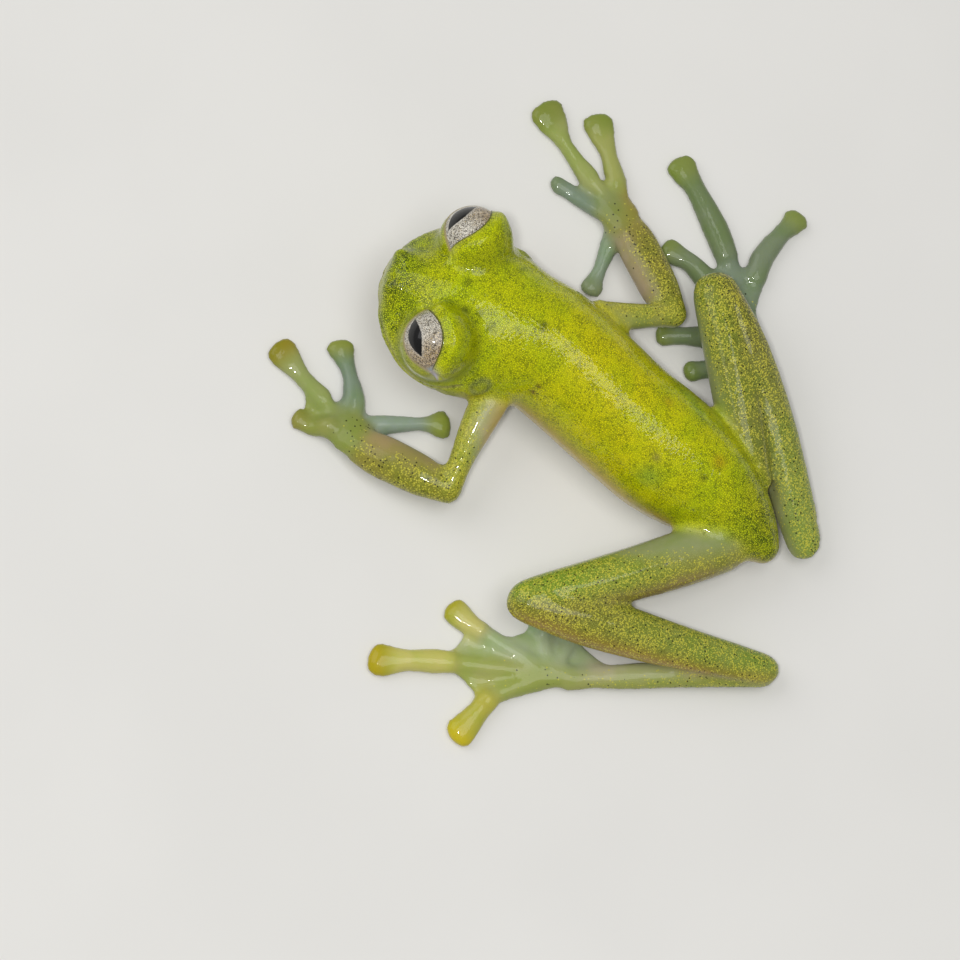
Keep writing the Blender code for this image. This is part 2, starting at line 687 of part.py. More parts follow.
def colour_of(name):
    kinds = (("eye", EYE_IRIS), ("finger", SKIN_DIGIT), ("toe", SKIN_DIGIT), ("foot", SKIN_WEB))
    for start, colour in kinds:
        if name.startswith(start):
            return colour
    return SKIN_BACK if name in ("head", "torso") else SKIN_LIMB


def centre_on_floor(parts):
    """Moves the whole frog so that the middle of its outline stands on the origin."""
    corners = np.array([v.co for part in parts for v in part.data.vertices])
    low, high = corners.min(axis=0), corners.max(axis=0)
    shift = Vector((-(low[0] + high[0]) / 2, -(low[1] + high[1]) / 2, -low[2]))
    for part in parts:
        part.data.transform(Matrix.Translation(shift))


def model_frog():
    parts = [model_head(), model_trunk()]
    for side, sign in (("left", 1), ("right", -1)):
        parts.append(ball(f"eye_{side}", eye_centre(sign), [EYE_RADIUS] * 3))
        parts += model_arm(side)
        parts += model_leg(side)
    centre_on_floor(parts)
    for part in parts:
        finish(part, colour_of(part.name))


for old in list(bpy.data.objects):
    bpy.data.objects.remove(old)
model_frog()
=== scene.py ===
"""The looks of a life-size glass frog: one moist skin, two wet eyes, a floor and soft light."""
import math

import bmesh
import bpy
import numpy as np
from mathutils import Matrix, Vector
from mathutils.bvhtree import BVHTree


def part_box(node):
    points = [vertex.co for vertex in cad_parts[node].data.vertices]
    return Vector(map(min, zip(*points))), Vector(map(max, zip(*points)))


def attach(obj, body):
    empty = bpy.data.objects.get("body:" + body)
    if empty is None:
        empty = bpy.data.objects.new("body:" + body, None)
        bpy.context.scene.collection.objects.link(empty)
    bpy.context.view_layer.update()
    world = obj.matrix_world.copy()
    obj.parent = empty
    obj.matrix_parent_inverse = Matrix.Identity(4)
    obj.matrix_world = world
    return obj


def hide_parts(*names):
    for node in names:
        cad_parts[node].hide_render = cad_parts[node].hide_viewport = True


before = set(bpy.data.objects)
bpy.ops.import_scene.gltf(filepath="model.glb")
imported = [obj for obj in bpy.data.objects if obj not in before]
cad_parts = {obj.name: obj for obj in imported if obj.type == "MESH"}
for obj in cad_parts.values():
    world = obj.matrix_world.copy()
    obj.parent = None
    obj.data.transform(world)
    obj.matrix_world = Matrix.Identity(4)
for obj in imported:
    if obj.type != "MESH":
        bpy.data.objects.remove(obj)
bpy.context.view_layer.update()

MM = 0.001
SIDES = ("left", "right")
UP = Vector((0, 0, 1))
LEVEL = np.array([1, 1, 0])
FLESH = [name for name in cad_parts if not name.startswith("eye")]

# The head's own axes, from the two eyes
EYES = {side: sum(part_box(f"eye_{side}"), Vector()) / 2 for side in SIDES}
EYE_MIDDLE = (EYES["left"] + EYES["right"]) / 2
HEAD_LEFT = (EYES["left"] - EYES["right"]).normalized()
HEAD_FORWARD = HEAD_LEFT.cross(UP).normalized()
HEAD_UP = HEAD_FORWARD.cross(HEAD_LEFT)
OUTER = {"left": HEAD_LEFT, "right": -HEAD_LEFT}

# The camera: nearly straight above, with the frog heading up and to the left of the picture
VIEW_SIZE = 48 * MM
VIEW_DISTANCE = 300 * MM
VIEW_PIXELS = 960
VIEW_BACK = Vector((0.27528825, -0.05031379, 0.96004422))
VIEW_RIGHT = Vector((-0.55518112, 0.80695549, 0.20148637))
VIEW_CENTRE = EYE_MIDDLE + Vector((6.468, 6.507, -2.538)) * MM
PICTURE_UP = VIEW_BACK.cross(VIEW_RIGHT)
SENSOR = 36.0
CLIP_START = 10 * MM

# Each light: the way to it along the camera's back, up and right, what that is multiplied by, then its size
# in metres and its power in watts
LIGHTS = {
    "key": ((0.85, 0.12, 0.22), 0.4, 0.2, 0.42),
    "glint": ((1.0, 0.0, -0.06), 0.4, 0.032, 0.52),
    "wide_fill": ((0.7, 0.5, -0.5), 0.5, 0.4, 0.75),
}
WORLD_LIGHT = 0.27

# The joined skin, and the plugs that close the gaps between neighbouring bodies
VOXEL = 0.16 * MM
MERGE = 1e-7
JOINT_REACH = 0.5 * MM
JOINT_OVERLAP = 0.12 * MM
KNEE_SPREAD = 2.4 * MM
HIP_BAND, HIP_STEP, HIP_FEWEST = 1.6 * MM, 0.9 * MM, 8
CREASE_TOP = 1.4 * MM
SMOOTH_STEPS = 12
SMOOTH_IN, SMOOTH_OUT = 0.6, -0.63
JOINT_STEPS, SOFTEN_SHARE = 26, 0.5
JOINT_SPREAD = {"thigh": 1.2 * MM, "forearm": 0.8 * MM, "tarsus": 0.9 * MM}
VENT_SPREAD = 1.5 * MM

# Fuller flesh along each part, in millimetres at these shares of its length, and how much of it goes upwards
SWELL_AT = (0, 0.2, 0.45, 0.72, 0.86, 1)
SWELL_UPWARD, DIGIT_UPWARD = 0.45, 1.1
SWELLING = {
    "finger_left": (0.13, 0.15, 0.1, 0.02, 0.1, 0.08),
    "finger_left_2": (0.16, 0.12, 0.02, -0.08, 0.06, 0.08),
    "finger_left_3": (0.06, 0.08, 0.03, -0.1, 0.0, 0.06),
    "finger_right": (0.1, 0.08, 0.02, -0.03, 0.04, 0.05),
    "finger_right_3": (0.1, 0.08, -0.02, -0.06, 0.02, 0.05),
    "toe_left": (0.12, 0.17, 0.17, 0.13, 0.14, 0.1),
    "toe_right": (0.16, 0.18, 0.16, 0.1, 0.1, 0.08),
    "upper_arm_left": (0.12, 0.1, 0.04, 0.0, 0.0, 0.0),
    "forearm_left": (0.0, 0.04, 0.14, 0.26, 0.32, 0.32),
    "forearm_right": (0.0, 0.03, 0.1, 0.2, 0.28, 0.3),
    "hand_left": (0.12, 0.12, 0.12, 0.12, 0.1, 0.1),
    "hand_right": (0.0, 0.02, 0.06, 0.1, 0.1, 0.1),
    "foot_left": (0.06, 0.06, 0.06, 0.06, 0.06, 0.06),
    "foot_right": (0.1, 0.1, 0.1, 0.1, 0.1, 0.1),
    "tarsus_left": (0.18, 0.18, 0.17, 0.16, 0.12, 0.08),
    "thigh_left": (0.4, 0.32, 0.2, 0.12, 0.1, 0.08),
    "shank_left": (0.2, 0.16, 0.13, 0.17, 0.22, 0.24),
    "thigh_right": (0.05, 0.1, 0.14, 0.14, 0.14, 0.12),
    "shank_right": (0.14, 0.2, 0.22, 0.24, 0.28, 0.3),
}

# Small moves in the picture, in millimetres rightwards and upwards: at the root, then at the far end
NUDGE = {
    "shank_right": (0.2, 0, 0.2, 0),
    "upper_arm_left": (-0.2, 0, 0, 0),
    "finger_left_1": (0, -0.05, 0.3, -0.04),
    "finger_left_2": (0.35, 0, 0, 0),
    "finger_right_4": (0.25, 0, 0, 0),
    "finger_right_1": (0.1, 0, 0, 0),
}

# A digit's disc: where it starts to widen and over what length, how much wider it gets, and its blunt front
DISC_START, DISC_LENGTH, DISC_SPREAD = -0.45 * MM, 0.4 * MM, 0.16
DISC_FRONT, DISC_BLUNT = 0.12 * MM, 0.6

# Membranes between digits: the pair, how far along each one the skin reaches, and the dip of its free edge
HAND_WEBS = {
    "left": ((1, 2, 0.5, 0.5, 0.4), (2, 3, 0.42, 0.42, 0.4), (3, 4, 0.62, 0.85, 0.1)),
    "right": ((1, 2, 0.42, 0.36, 0.4), (2, 3, 0.42, 0.36, 0.3), (3, 4, 0.36, 0.36, 0.3)),
}
FOOT_WEBS = {
    "left": (
        (1, 2, 0.8, 0.8, 0.3), (2, 3, 0.8, 0.66, 0.3),
        (3, 4, 0.86, 0.74, 0.15), (4, 5, 0.74, 0.84, 0.3),
    ),
    "right": (
        (1, 2, 0.7, 0.7, 0.3), (2, 3, 0.6, 0.6, 0.3),
        (3, 4, 0.5, 0.42, 0.3), (4, 5, 0.4, 0.42, 0.3),
    ),
}

# The same for the webs from the first digit to the forearm and to the tarsus, and how low and high webs reach
WRIST_WEB = (0.52, 0.42, 0.3)
HEEL_WEB = (0.6, 0.3, 0.5)
WEB_LEVELS = (0.08 * MM, 0.38 * MM)
WEB_SIDE_STEPS, WEB_EDGE_STEPS, WEB_EDGE_MARGIN = 7, 9, 0.1
WEB_MERGE = 1e-6

# Eyes and lids. An aim is turned outwards from the head's front and lifted, in degrees, and then rolled.
# Other angles are in radians.
EYE_RADIUS = 1.68 * MM
EYE_SHIFT = (0.11 * MM, 0.05 * MM, -0.06 * MM)
EYE_SEGMENTS, EYE_RINGS = 96, 64
EYE_ROOM = 0.3 * MM
CORNEA = math.radians(62)
CORNEA_RISE = 0.03 * MM
GAZE, GAZE_ROLL = (25, 38.5), 4.6
LID_RADIUS, LID_SEGMENTS, LID_RINGS = 1.97 * MM, 64, 32
LID_AIM, LID_ROLL = (31, 49), -9
LID_UPPER = math.radians(39)
LID_LOWER = math.radians(39)
LID_CORNER = math.radians(68)
LID_ROUND = 0.8
LID_EDGE = 0.04 * MM
LID_EASE, LID_LOWER_EASE, LID_LOWER_FALL = 0.3, 0.6, (0.2, 0.4)
LID_WALL = 0.06
LID_INNER, LID_OUTER = 0.8 * MM, 2.6 * MM
LID_FINE, LID_FINE_OUTER = (0.35, 0.12), 2.4 * MM

# The fold round the lids, the cheeks, nostrils, ears and mouth, in the head's own axes
FOLD_RADIUS, FOLD_WIDTH, FOLD_STEPS = 2.1 * MM, 0.5 * MM, 34
FOLD_RISE = (0.35, 0.3)
CHEEK = (1.9 * MM, 1.9 * MM, -0.9 * MM)
CHEEK_WIDTH, CHEEK_DEPTH = 0.9 * MM, 0.22 * MM
JAW = (1.0 * MM, 1.2 * MM, -2.2 * MM)
JAW_LENGTH, JAW_WIDTH, JAW_RISE = 2.4 * MM, 1.0 * MM, 0.3 * MM
NOSTRIL = (3.05 * MM, 0.75 * MM)
NOSTRIL_WIDTH, NOSTRIL_RISE = 0.34 * MM, 0.2 * MM
NOSTRIL_HOLE, NOSTRIL_PIT = 0.09 * MM, 0.16 * MM
NOSTRIL_ABOVE = (-2.2 * MM, MM)
SNOUT_CORNER = (3.05 * MM, 1.0 * MM, -0.8 * MM)
SNOUT_CORNER_WIDTH, SNOUT_CORNER_RISE = 0.5 * MM, (0.12 * MM, 0.3 * MM)
EAR = (-2.9 * MM, -1.25 * MM)
EAR_RING = 0.44 * MM

# The mouth's line on either side, forward and upward in millimetres, with its lips
MOUTH = (
    (-2.05, -1.35), (-1.2, -1.9), (-0.4, -2.3), (0.05, -2.2),
    (1.25, -2.05), (2.25, -1.9), (2.95, -1.8), (3.6, -1.7),
)
MOUTH_WIDTH, MOUTH_DEPTH, MOUTH_FINE = 0.07 * MM, 0.1 * MM, 0.22 * MM
LIP_OFFSET, LIP_RISE = 0.16 * MM, 0.035 * MM

# Skin patterns. Scales are cells in each metre, sizes are shares of a cell, and a pair named DENSITY is
# how much a pattern gains where its net is dense and how much of it there is where the net is sparse.
PATCH_SCALE, PATCH_RANGE = 700.0, (0.35, 0.7)
FINE_SCALE = 14000.0
NET_SCALE, NET_THREAD, NET_CORE = 10500.0, 0.23, 0.02
NET_PATCH_SCALE, NET_PATCH_RANGE = 1700.0, (0.25, 0.75)
NET_DENSITY = (0.5, 0.65)
SPECK_SCALE, SPECK_SIZE, SPECK_DENSITY, SPECK_COVER = 10500.0, 0.42, (0.36, 0.12), 0.85
GRAIN_SCALE, GRAIN_SIZE, GRAIN_DENSITY, GRAIN_COVER = 12500.0, 0.62, (0.7, 0.3), 0.75
DOT_SCALE, DOT_SIZE, DOT_SHARE, DOT_COVER = 5600.0, 0.32, 0.75, 0.9
SPOT_CORE = 0.6
BUMP_STRENGTH, BUMP_HEIGHT = 0.6, 0.03 * MM
BUMP_NET, BUMP_FINE, BUMP_GRAIN = (1.3, 0.25), 0.4, 0.12
FILM_SCALE, FILM_HEIGHT, FILM_NET = 4000.0, 0.045 * MM, (0.8, 0.2)
SKIN_ROUGH = (0.3, 0.3)
SKIN_FINISH = {
    "Subsurface Weight": 0.2,
    "Subsurface Radius": (1.0, 0.8, 0.35),
    "Subsurface Scale": 0.07 * MM,
    "IOR": 1.4,
    "Specular IOR Level": 0.1,
    "Coat Weight": 0.8,
    "Coat Roughness": 0.04,
    "Coat IOR": 1.36,
}

# Skin, eye and floor colours on the linear scale
PATCH_TONE = (0.86, 0.95, 0.7)
NET_TONE = (0.1, 0.15, 0.08)
SPECK_TONE = (0.03, 0.045, 0.005)
GRAIN_SHADE = (0.5, 0.47, 0.34)
GOLD_TONE = (0.6, 0.55, 0.06)
DOT_TONE = (0.008, 0.008, 0.005)
IRIS_SILVER = (0.68, 0.64, 0.54)
IRIS_TAN = (0.46, 0.33, 0.18)
IRIS_GOLD = (0.6, 0.4, 0.08)
IRIS_BROWN = (0.035, 0.024, 0.014)
EYE_BLUE = (0.3, 0.36, 0.4)
PUPIL_HALO = (0.66, 0.64, 0.6)
PUPIL_TONE = (0.003, 0.003, 0.003)
FLOOR_TONE = np.array([0.72, 0.71, 0.68])

# The eye's pattern, in radians from the gaze, and its finish
PUPIL_LENGTH, PUPIL_HEIGHT, PUPIL_ROUND = 0.64, 0.25, 1.7
PUPIL_RAG_SCALE, PUPIL_RAG = 9000.0, (0.05, -0.025)
PUPIL_EDGE = (0.015, -0.015)
HALO_RANGE, HALO_COVER = (0.1, 0.03), 0.2
WARM_SCALE, WARM_ALONG, WARM_CLOUD = 1500.0, 0.7, 0.5
WARM_RANGE, WARM_COVER = (0.1, 0.75), 0.75
FLECK_SCALE, FLECK_SIZE, FLECK_SHARE = 16200.0, 0.45, (0.3, 0.12)
IRIS_MESH_SCALE, IRIS_MESH_RANGE, IRIS_MESH_COVER = 13500.0, (0.22, 0.04), 0.95
IRIS_MESH_PATCHES, IRIS_MESH_PATCH_RANGE = 7000.0, (0.28, 0.52)
IRIS_RIM = (1.0, 1.2)
IRIS_ROUGH = (0.15, 0.3)
EYE_FINISH = {"Specular IOR Level": 0.15, "Coat Weight": 1.0, "Coat Roughness": 0.03, "Coat IOR": 1.38}

FLOOR_SIZE, FLOOR_PATCH_SCALE, FLOOR_PATCH_RANGE = 2, 60.0, (0.3, 0.7)
FLOOR_SHADE, FLOOR_FINISH = 0.97, {"Roughness": 0.7}


def deselect_all():
    for obj in bpy.context.selected_objects:
        obj.select_set(False)


def points_of(mesh):
    points = np.empty(len(mesh.vertices) * 3)
    mesh.vertices.foreach_get("co", points)
    return points.reshape(-1, 3)


def set_points(mesh, points):
    mesh.vertices.foreach_set("co", np.ascontiguousarray(points, np.float32).ravel())
    mesh.update()


def normals_of(mesh):
    normals = np.empty(len(mesh.vertices) * 3)
    mesh.vertex_normals.foreach_get("vector", normals)
    return normals.reshape(-1, 3)


def edges_of(mesh):
    ends = np.empty(len(mesh.edges) * 2, np.int32)
    mesh.edges.foreach_get("vertices", ends)
    return ends.reshape(-1, 2)


def ease(share):
    """From 0 to 1, smooth at both ends."""
    share = np.clip(share, 0, 1)
    return share * share * (3 - 2 * share)


def rise(value, start, width):
    """From 0 at start to 1 at start plus width."""
    return ease((value - start) / width)


def fall(value, end, width):
    """From 1 at end less width to 0 at end."""
    return ease((end - value) / width)


def bell(distance, width):
    return np.exp(-((distance / width) ** 2))


def neighbour_mean(values, edges, count):
    """The mean of each point's neighbours."""
    first, second = edges[:, 0], edges[:, 1]
    degree = np.bincount(first, minlength=count) + np.bincount(second, minlength=count)
    columns = values.reshape(count, -1)
    total = [
        np.bincount(first, column[second], count) + np.bincount(second, column[first], count)
        for column in columns.T
    ]
    mean = np.array(total).T / np.maximum(degree, 1)[:, None]
    return mean.reshape(values.shape)


def even_out(values, edges, steps, amount=0.6):
    for _ in range(steps):
        values = values + amount * (neighbour_mean(values, edges, len(values)) - values)
    return values


# The flesh, joined under one skin

def link_mesh(name, made):
    mesh = bpy.data.meshes.new(name)
    made.to_mesh(mesh)
    made.free()
    obj = bpy.data.objects.new(name, mesh)
    bpy.context.scene.collection.objects.link(obj)
    return obj


def swell(obj, name, line):
    """Fuller flesh along a limb part or digit, and a blunt wide disc at a digit's tip."""
    points = points_of(obj.data)
    digit = name.startswith(("finger", "toe"))
    kind = name if name in SWELLING else name.rstrip("_12345")
    if kind in SWELLING:
        amount = np.interp(share_along(points, line), SWELL_AT, SWELLING[kind]) * MM
        upward = DIGIT_UPWARD if digit else SWELL_UPWARD
        points = points + normals_of(obj.data) * np.abs(amount[:, None]) * np.array([0, 0, upward])
        points = points + normals_of(obj.data) * amount[:, None] * LEVEL
    if name in NUDGE:
        far = ease(share_along(points, line))
        root_right, root_up, far_right, far_up = NUDGE[name]
        right = root_right * (1 - far) + far_right * far
        up = root_up * (1 - far) + far_up * far
        points = points + right[:, None] * np.array(VIEW_RIGHT) * MM
        points = points + up[:, None] * np.array(PICTURE_UP) * MM
    if digit:
        way = (line[-1] - line[-2]) / np.linalg.norm(line[-1] - line[-2])
        offset = points - line[-1]
        along = offset @ way
        across = offset - along[:, None] * way
        disc = rise(along, DISC_START, DISC_LENGTH)[:, None]
        flat = np.where(along > DISC_FRONT, DISC_FRONT + (along - DISC_FRONT) * DISC_BLUNT, along)
        points = line[-1] + flat[:, None] * way + across * (1 + DISC_SPREAD * disc * LEVEL)
    set_points(obj.data, points)


def torso_end():
    """The rearmost point of the torso."""
    torso = points_of(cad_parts["torso"].data)
    return torso[torso[:, 1].argmax()]


def near_joints(points):
    """How close each point lies to a knee, wrist or ankle, or to the torso's end."""
    lines = limb_lines()
    total = np.zeros(len(points))
    for side in SIDES:
        for part, spread in JOINT_SPREAD.items():
            total += bell(np.linalg.norm(points - lines[f"{part}_{side}"][-1], axis=1), spread)
    total += bell(np.linalg.norm(points - torso_end(), axis=1), VENT_SPREAD)
    return np.minimum(total, 1)


def flesh_copy(name):
    """A closed copy of a node with its loose triangles merged, and finer ones on the torso and thighs."""
    made = bmesh.new()
    made.from_mesh(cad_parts[name].data)
    bmesh.ops.remove_doubles(made, verts=made.verts, dist=MERGE)
    if name == "torso" or name.startswith("thigh"):
        bmesh.ops.subdivide_edges(made, edges=made.edges, cuts=2)
        bmesh.ops.triangulate(made, faces=made.faces)
    return link_mesh("flesh_" + name, made)


def tree_of(obj):
    corners = [v.co for v in obj.data.vertices]
    return BVHTree.FromPolygons(corners, [p.vertices for p in obj.data.polygons])


def facing_points(first, second):
    """The points where two bodies are close, each with the place that it faces just inside the other."""
    found = []
    for inner, outer in ((first, second), (second, first)):
        tree = tree_of(outer)
        for vertex in inner.data.vertices:
            place, _, _, gap = tree.find_nearest(vertex.co)
            if gap < JOINT_REACH:
                found += [vertex.co.copy(), place + (place - vertex.co).normalized() * JOINT_OVERLAP]
    return found


def joint_plug(points):
    """A plug that closes the thin gap between two neighbouring bodies."""
    made = bmesh.new()
    for point in points:
        made.verts.new(point)
    hull = bmesh.ops.convex_hull(made, input=made.verts)
    spare = {v for v in hull["geom_interior"] + hull["geom_unused"] if isinstance(v, bmesh.types.BMVert)}
    bmesh.ops.delete(made, geom=list(spare), context="VERTS")
    return link_mesh("plug", made)


def joints():
    """Each pair of neighbouring bodies, from the trunk outwards."""
    pairs = [("head", "torso")]
    for side in SIDES:
        arm = [f"{part}_{side}" for part in ("upper_arm", "forearm", "hand")]
        leg = [f"{part}_{side}" for part in ("thigh", "shank", "tarsus", "foot")]
        pairs += zip(["torso"] + arm, arm)
        pairs += zip(["torso"] + leg, leg)
        pairs += [(arm[-1], f"finger_{side}_{n}") for n in range(1, 5)]
        pairs += [(leg[-1], f"toe_{side}_{n}") for n in range(1, 6)]
    return pairs


def middle_of(name):
    points = points_of(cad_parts[name].data)
    return Vector((points.min(0) + points.max(0)) / 2)


def line_along(name, start, count=6):
    """The middle line of a digit or limb, from its end nearest to start."""
    points = points_of(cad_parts[name].data)
    reach = np.linalg.norm(points - np.array(start), axis=1)
    bins = np.linspace(reach.min(), reach.max() + 1e-9, count + 1)
    line = []
    for low, high in zip(bins, bins[1:]):
        inside = points[(reach >= low) & (reach <= high)]
        if len(inside):
            line.append(inside.mean(0))
    return np.array(line)


def point_on(line, share):
    length = np.concatenate([[0], np.cumsum(np.linalg.norm(np.diff(line, axis=0), axis=1))])
    return np.array([np.interp(share * length[-1], length, line[:, axis]) for axis in range(3)])


def membrane(centre, first, second, share_first, share_second, dip):
    """A thin plate of skin between two digits, with its free edge drawn in towards their root."""
    way_out = [point_on(first, share_first * t) for t in np.linspace(0, 1, WEB_SIDE_STEPS)]
    way_back = [point_on(second, share_second * t) for t in np.linspace(1, 0, WEB_SIDE_STEPS)]
    start, end = way_out[-1], way_back[0]
    pull = (start + end) / 2 * (1 - dip) + np.array(centre) * dip
    steps = np.linspace(WEB_EDGE_MARGIN, 1 - WEB_EDGE_MARGIN, WEB_EDGE_STEPS)
    edge = [start * (1 - t) ** 2 + 2 * pull * t * (1 - t) + end * t**2 for t in steps]
    outline = way_out + edge + way_back
    made = bmesh.new()
    rings = [[made.verts.new((p[0], p[1], level)) for p in outline] for level in WEB_LEVELS]
    made.faces.new(rings[0][::-1])
    made.faces.new(rings[1])
    for n in range(len(outline)):
        after = (n + 1) % len(outline)
        made.faces.new((rings[0][n], rings[0][after], rings[1][after], rings[1][n]))
    bmesh.ops.remove_doubles(made, verts=made.verts, dist=WEB_MERGE)
    bmesh.ops.triangulate(made, faces=made.faces)
    bmesh.ops.recalc_face_normals(made, faces=made.faces)
    return link_mesh("membrane", made)


def with_start(name, centre):
    """The middle line of a digit or limb, led in from the centre of the hand or the heel."""
    return np.vstack([[list(centre)], line_along(name, centre)])


def membranes():
    plates = []
    for side in SIDES:
        palm = middle_of(f"hand_{side}")
        fingers = {n: with_start(f"finger_{side}_{n}", palm) for n in range(1, 5)}
        for first, second, *reach in HAND_WEBS[side]:
            plates.append(membrane(palm, fingers[first], fingers[second], *reach))
        plates.append(membrane(palm, fingers[1], with_start(f"forearm_{side}", palm), *WRIST_WEB))
        tarsus = line_along(f"tarsus_{side}", middle_of(f"foot_{side}"))
        heel = Vector(tarsus[0])
        toes = {n: with_start(f"toe_{side}_{n}", heel) for n in range(1, 6)}
        for first, second, *reach in FOOT_WEBS[side]:
            plates.append(membrane(heel, toes[first], toes[second], *reach))
        plates.append(membrane(heel, toes[1], tarsus, *HEEL_WEB))
    return plates


def lid_ball(side):
    """The closed mound of the lids, over the socket's opening."""
    made = bmesh.new()
    sizes = {"u_segments": LID_SEGMENTS, "v_segments": LID_RINGS, "radius": LID_RADIUS}
    bmesh.ops.create_uvsphere(made, matrix=Matrix.Translation(EYES[side]), **sizes)
    return link_mesh("mound", made)


def join_flesh():
    """One closed surface over every flesh node, in fine even cells."""
    copies = {name: flesh_copy(name) for name in FLESH}
    for name, line in limb_lines().items():
        swell(copies[name], name, line)
    parts = list(copies.values()) + membranes() + [lid_ball(side) for side in SIDES]
    for inner, outer in joints():
        points = facing_points(copies[inner], copies[outer])
        if outer.startswith("thigh"):
            rear = max(p.y for p in points)
            front = min(p.y for p in points)
            top = CREASE_TOP if outer.endswith("right") else math.inf
            for low in np.arange(front, rear, HIP_STEP):
                band = [p for p in points if low <= p.y <= low + HIP_BAND and p.z < top]
                if len(band) > HIP_FEWEST:
                    parts.append(joint_plug(band))
            continue
        if outer.startswith("shank"):
            hip = max((v.co for v in copies[inner].data.vertices), key=lambda co: co.y)
            knee = max((v.co for v in copies[inner].data.vertices), key=lambda co: (co - hip).length)
            points = [p for p in points if (p - knee).length < KNEE_SPREAD]
        parts.append(joint_plug(points))
    deselect_all()
    for obj in parts:
        obj.select_set(True)
    skin = copies["torso"]
    bpy.context.view_layer.objects.active = skin
    bpy.ops.object.join()
    skin.name = skin.data.name = "skin"
    remesh = skin.modifiers.new("remesh", "REMESH")
    remesh.mode = "VOXEL"
    remesh.voxel_size = VOXEL
    remesh.adaptivity = 0.0
    bpy.ops.object.modifier_apply(modifier=remesh.name)
    edges = edges_of(skin.data)
    points = points_of(skin.data)
    for _ in range(SMOOTH_STEPS):
        for amount in (SMOOTH_IN, SMOOTH_OUT):
            points = even_out(points, edges, 1, amount)
    set_points(skin.data, points)
    return skin


def refine(skin, chosen):
    """Splits the skin's faces where chosen says, for finer modelling there."""
    made = bmesh.new()
    made.from_mesh(skin.data)
    inside = chosen(points_of(skin.data))
    made.verts.ensure_lookup_table()
    edges = [e for e in made.edges if inside[e.verts[0].index] and inside[e.verts[1].index]]
    bmesh.ops.subdivide_edges(made, edges=edges, cuts=1, use_grid_fill=True)
    made.to_mesh(skin.data)
    made.free()


# The head's details

def in_head(points):
    """Forward, leftward and upward of the middle between the eyes, in metres."""
    away = np.asarray(points) - np.array(EYE_MIDDLE)
    return away @ np.array(HEAD_FORWARD), away @ np.array(HEAD_LEFT), away @ np.array(HEAD_UP)


def aim(side, angles, roll):
    """The axis at these angles from the head's front, with the long and upright axes across it."""
    turn, lift = (math.radians(a) for a in angles)
    level = HEAD_FORWARD * math.cos(turn) + OUTER[side] * math.sin(turn)
    axis = level * math.cos(lift) + HEAD_UP * math.sin(lift)
    across = (-HEAD_FORWARD * math.sin(turn) + OUTER[side] * math.cos(turn)).normalized()
    upright = axis.cross(across)
    if upright.dot(HEAD_UP) < 0:
        upright = -upright
    turned = math.radians(roll)
    long_axis = across * math.cos(turned) + upright * math.sin(turned)
    upright = upright * math.cos(turned) - across * math.sin(turned)
    return np.array(axis), np.array(long_axis), np.array(upright)


def eye_centre(side):
    forward, outward, upward = EYE_SHIFT
    return np.array(EYES[side] + HEAD_FORWARD * forward + OUTER[side] * outward + HEAD_UP * upward)


def lid_distance(points, side):
    """The angle from the lids' opening, less than zero inside it, with each point's place round the eye."""
    axis, across, upright = aim(side, LID_AIM, LID_ROLL)
    away = points - eye_centre(side)
    radius = np.linalg.norm(away, axis=1)
    along = np.arcsin(np.clip(away @ across / np.maximum(radius, 1e-9), -1, 1))
    height = np.arctan2(away @ upright, away @ axis)
    room = np.clip(1 - (along / LID_CORNER) ** 2, 0, 1) ** LID_ROUND
    over = (height - LID_UPPER * room) * np.cos(along)
    under = (-height - LID_LOWER * room) * np.cos(along)
    return np.maximum(np.maximum(over, under), np.abs(along) - LID_CORNER), radius, along, height


def open_lids(skin):
    """Presses the skin in behind the lids' opening and rolls the lids' edges close to the eyeball."""
    for side in SIDES:
        for reach in LID_FINE:
            refine(skin, lambda points: near_lids(points, side, reach))
        points = points_of(skin.data)
        angle, radius, _, height = lid_distance(points, side)
        near = (radius > LID_INNER) & (radius < LID_OUTER)
        edge = EYE_RADIUS + LID_EDGE
        lower = fall(height, *LID_LOWER_FALL)
        outer = edge + (radius - edge) * ease(angle / (LID_EASE + LID_LOWER_EASE * lower))
        inner = edge - EYE_ROOM * ease(-angle / LID_WALL)
        target = np.where(angle > 0, np.maximum(outer, edge), np.minimum(inner, radius))
        target = np.where(near, target, radius)
        centre = eye_centre(side)
        points = centre + (points - centre) * (target / radius)[:, None]
        set_points(skin.data, points)


def near_lids(points, side, reach):
    angle, radius, _, _ = lid_distance(points, side)
    return (np.abs(angle) < reach) & (radius < LID_FINE_OUTER)


def soften(skin, weight, steps):
    """Evens out the skin's shape where weight says."""
    edges = edges_of(skin.data)
    points = points_of(skin.data)
    share = weight(points)[:, None] * SOFTEN_SHARE
    for _ in range(steps):
        points = points + share * (neighbour_mean(points, edges, len(points)) - points)
    set_points(skin.data, points)


def lid_surround(points):
    """How much of the fold round the lids' mound each point belongs to."""
    share = np.zeros(len(points))
    for side in SIDES:
        angle, radius, _, _ = lid_distance(points, side)
        share = np.maximum(share, bell(radius - FOLD_RADIUS, FOLD_WIDTH) * rise(angle, *FOLD_RISE))
    return share


def gap_from(place, forward, outward, up):
    """The distance from a place on the head, given in its own axes."""
    return np.sqrt((forward - place[0]) ** 2 + (outward - place[1]) ** 2 + (up - place[2]) ** 2)


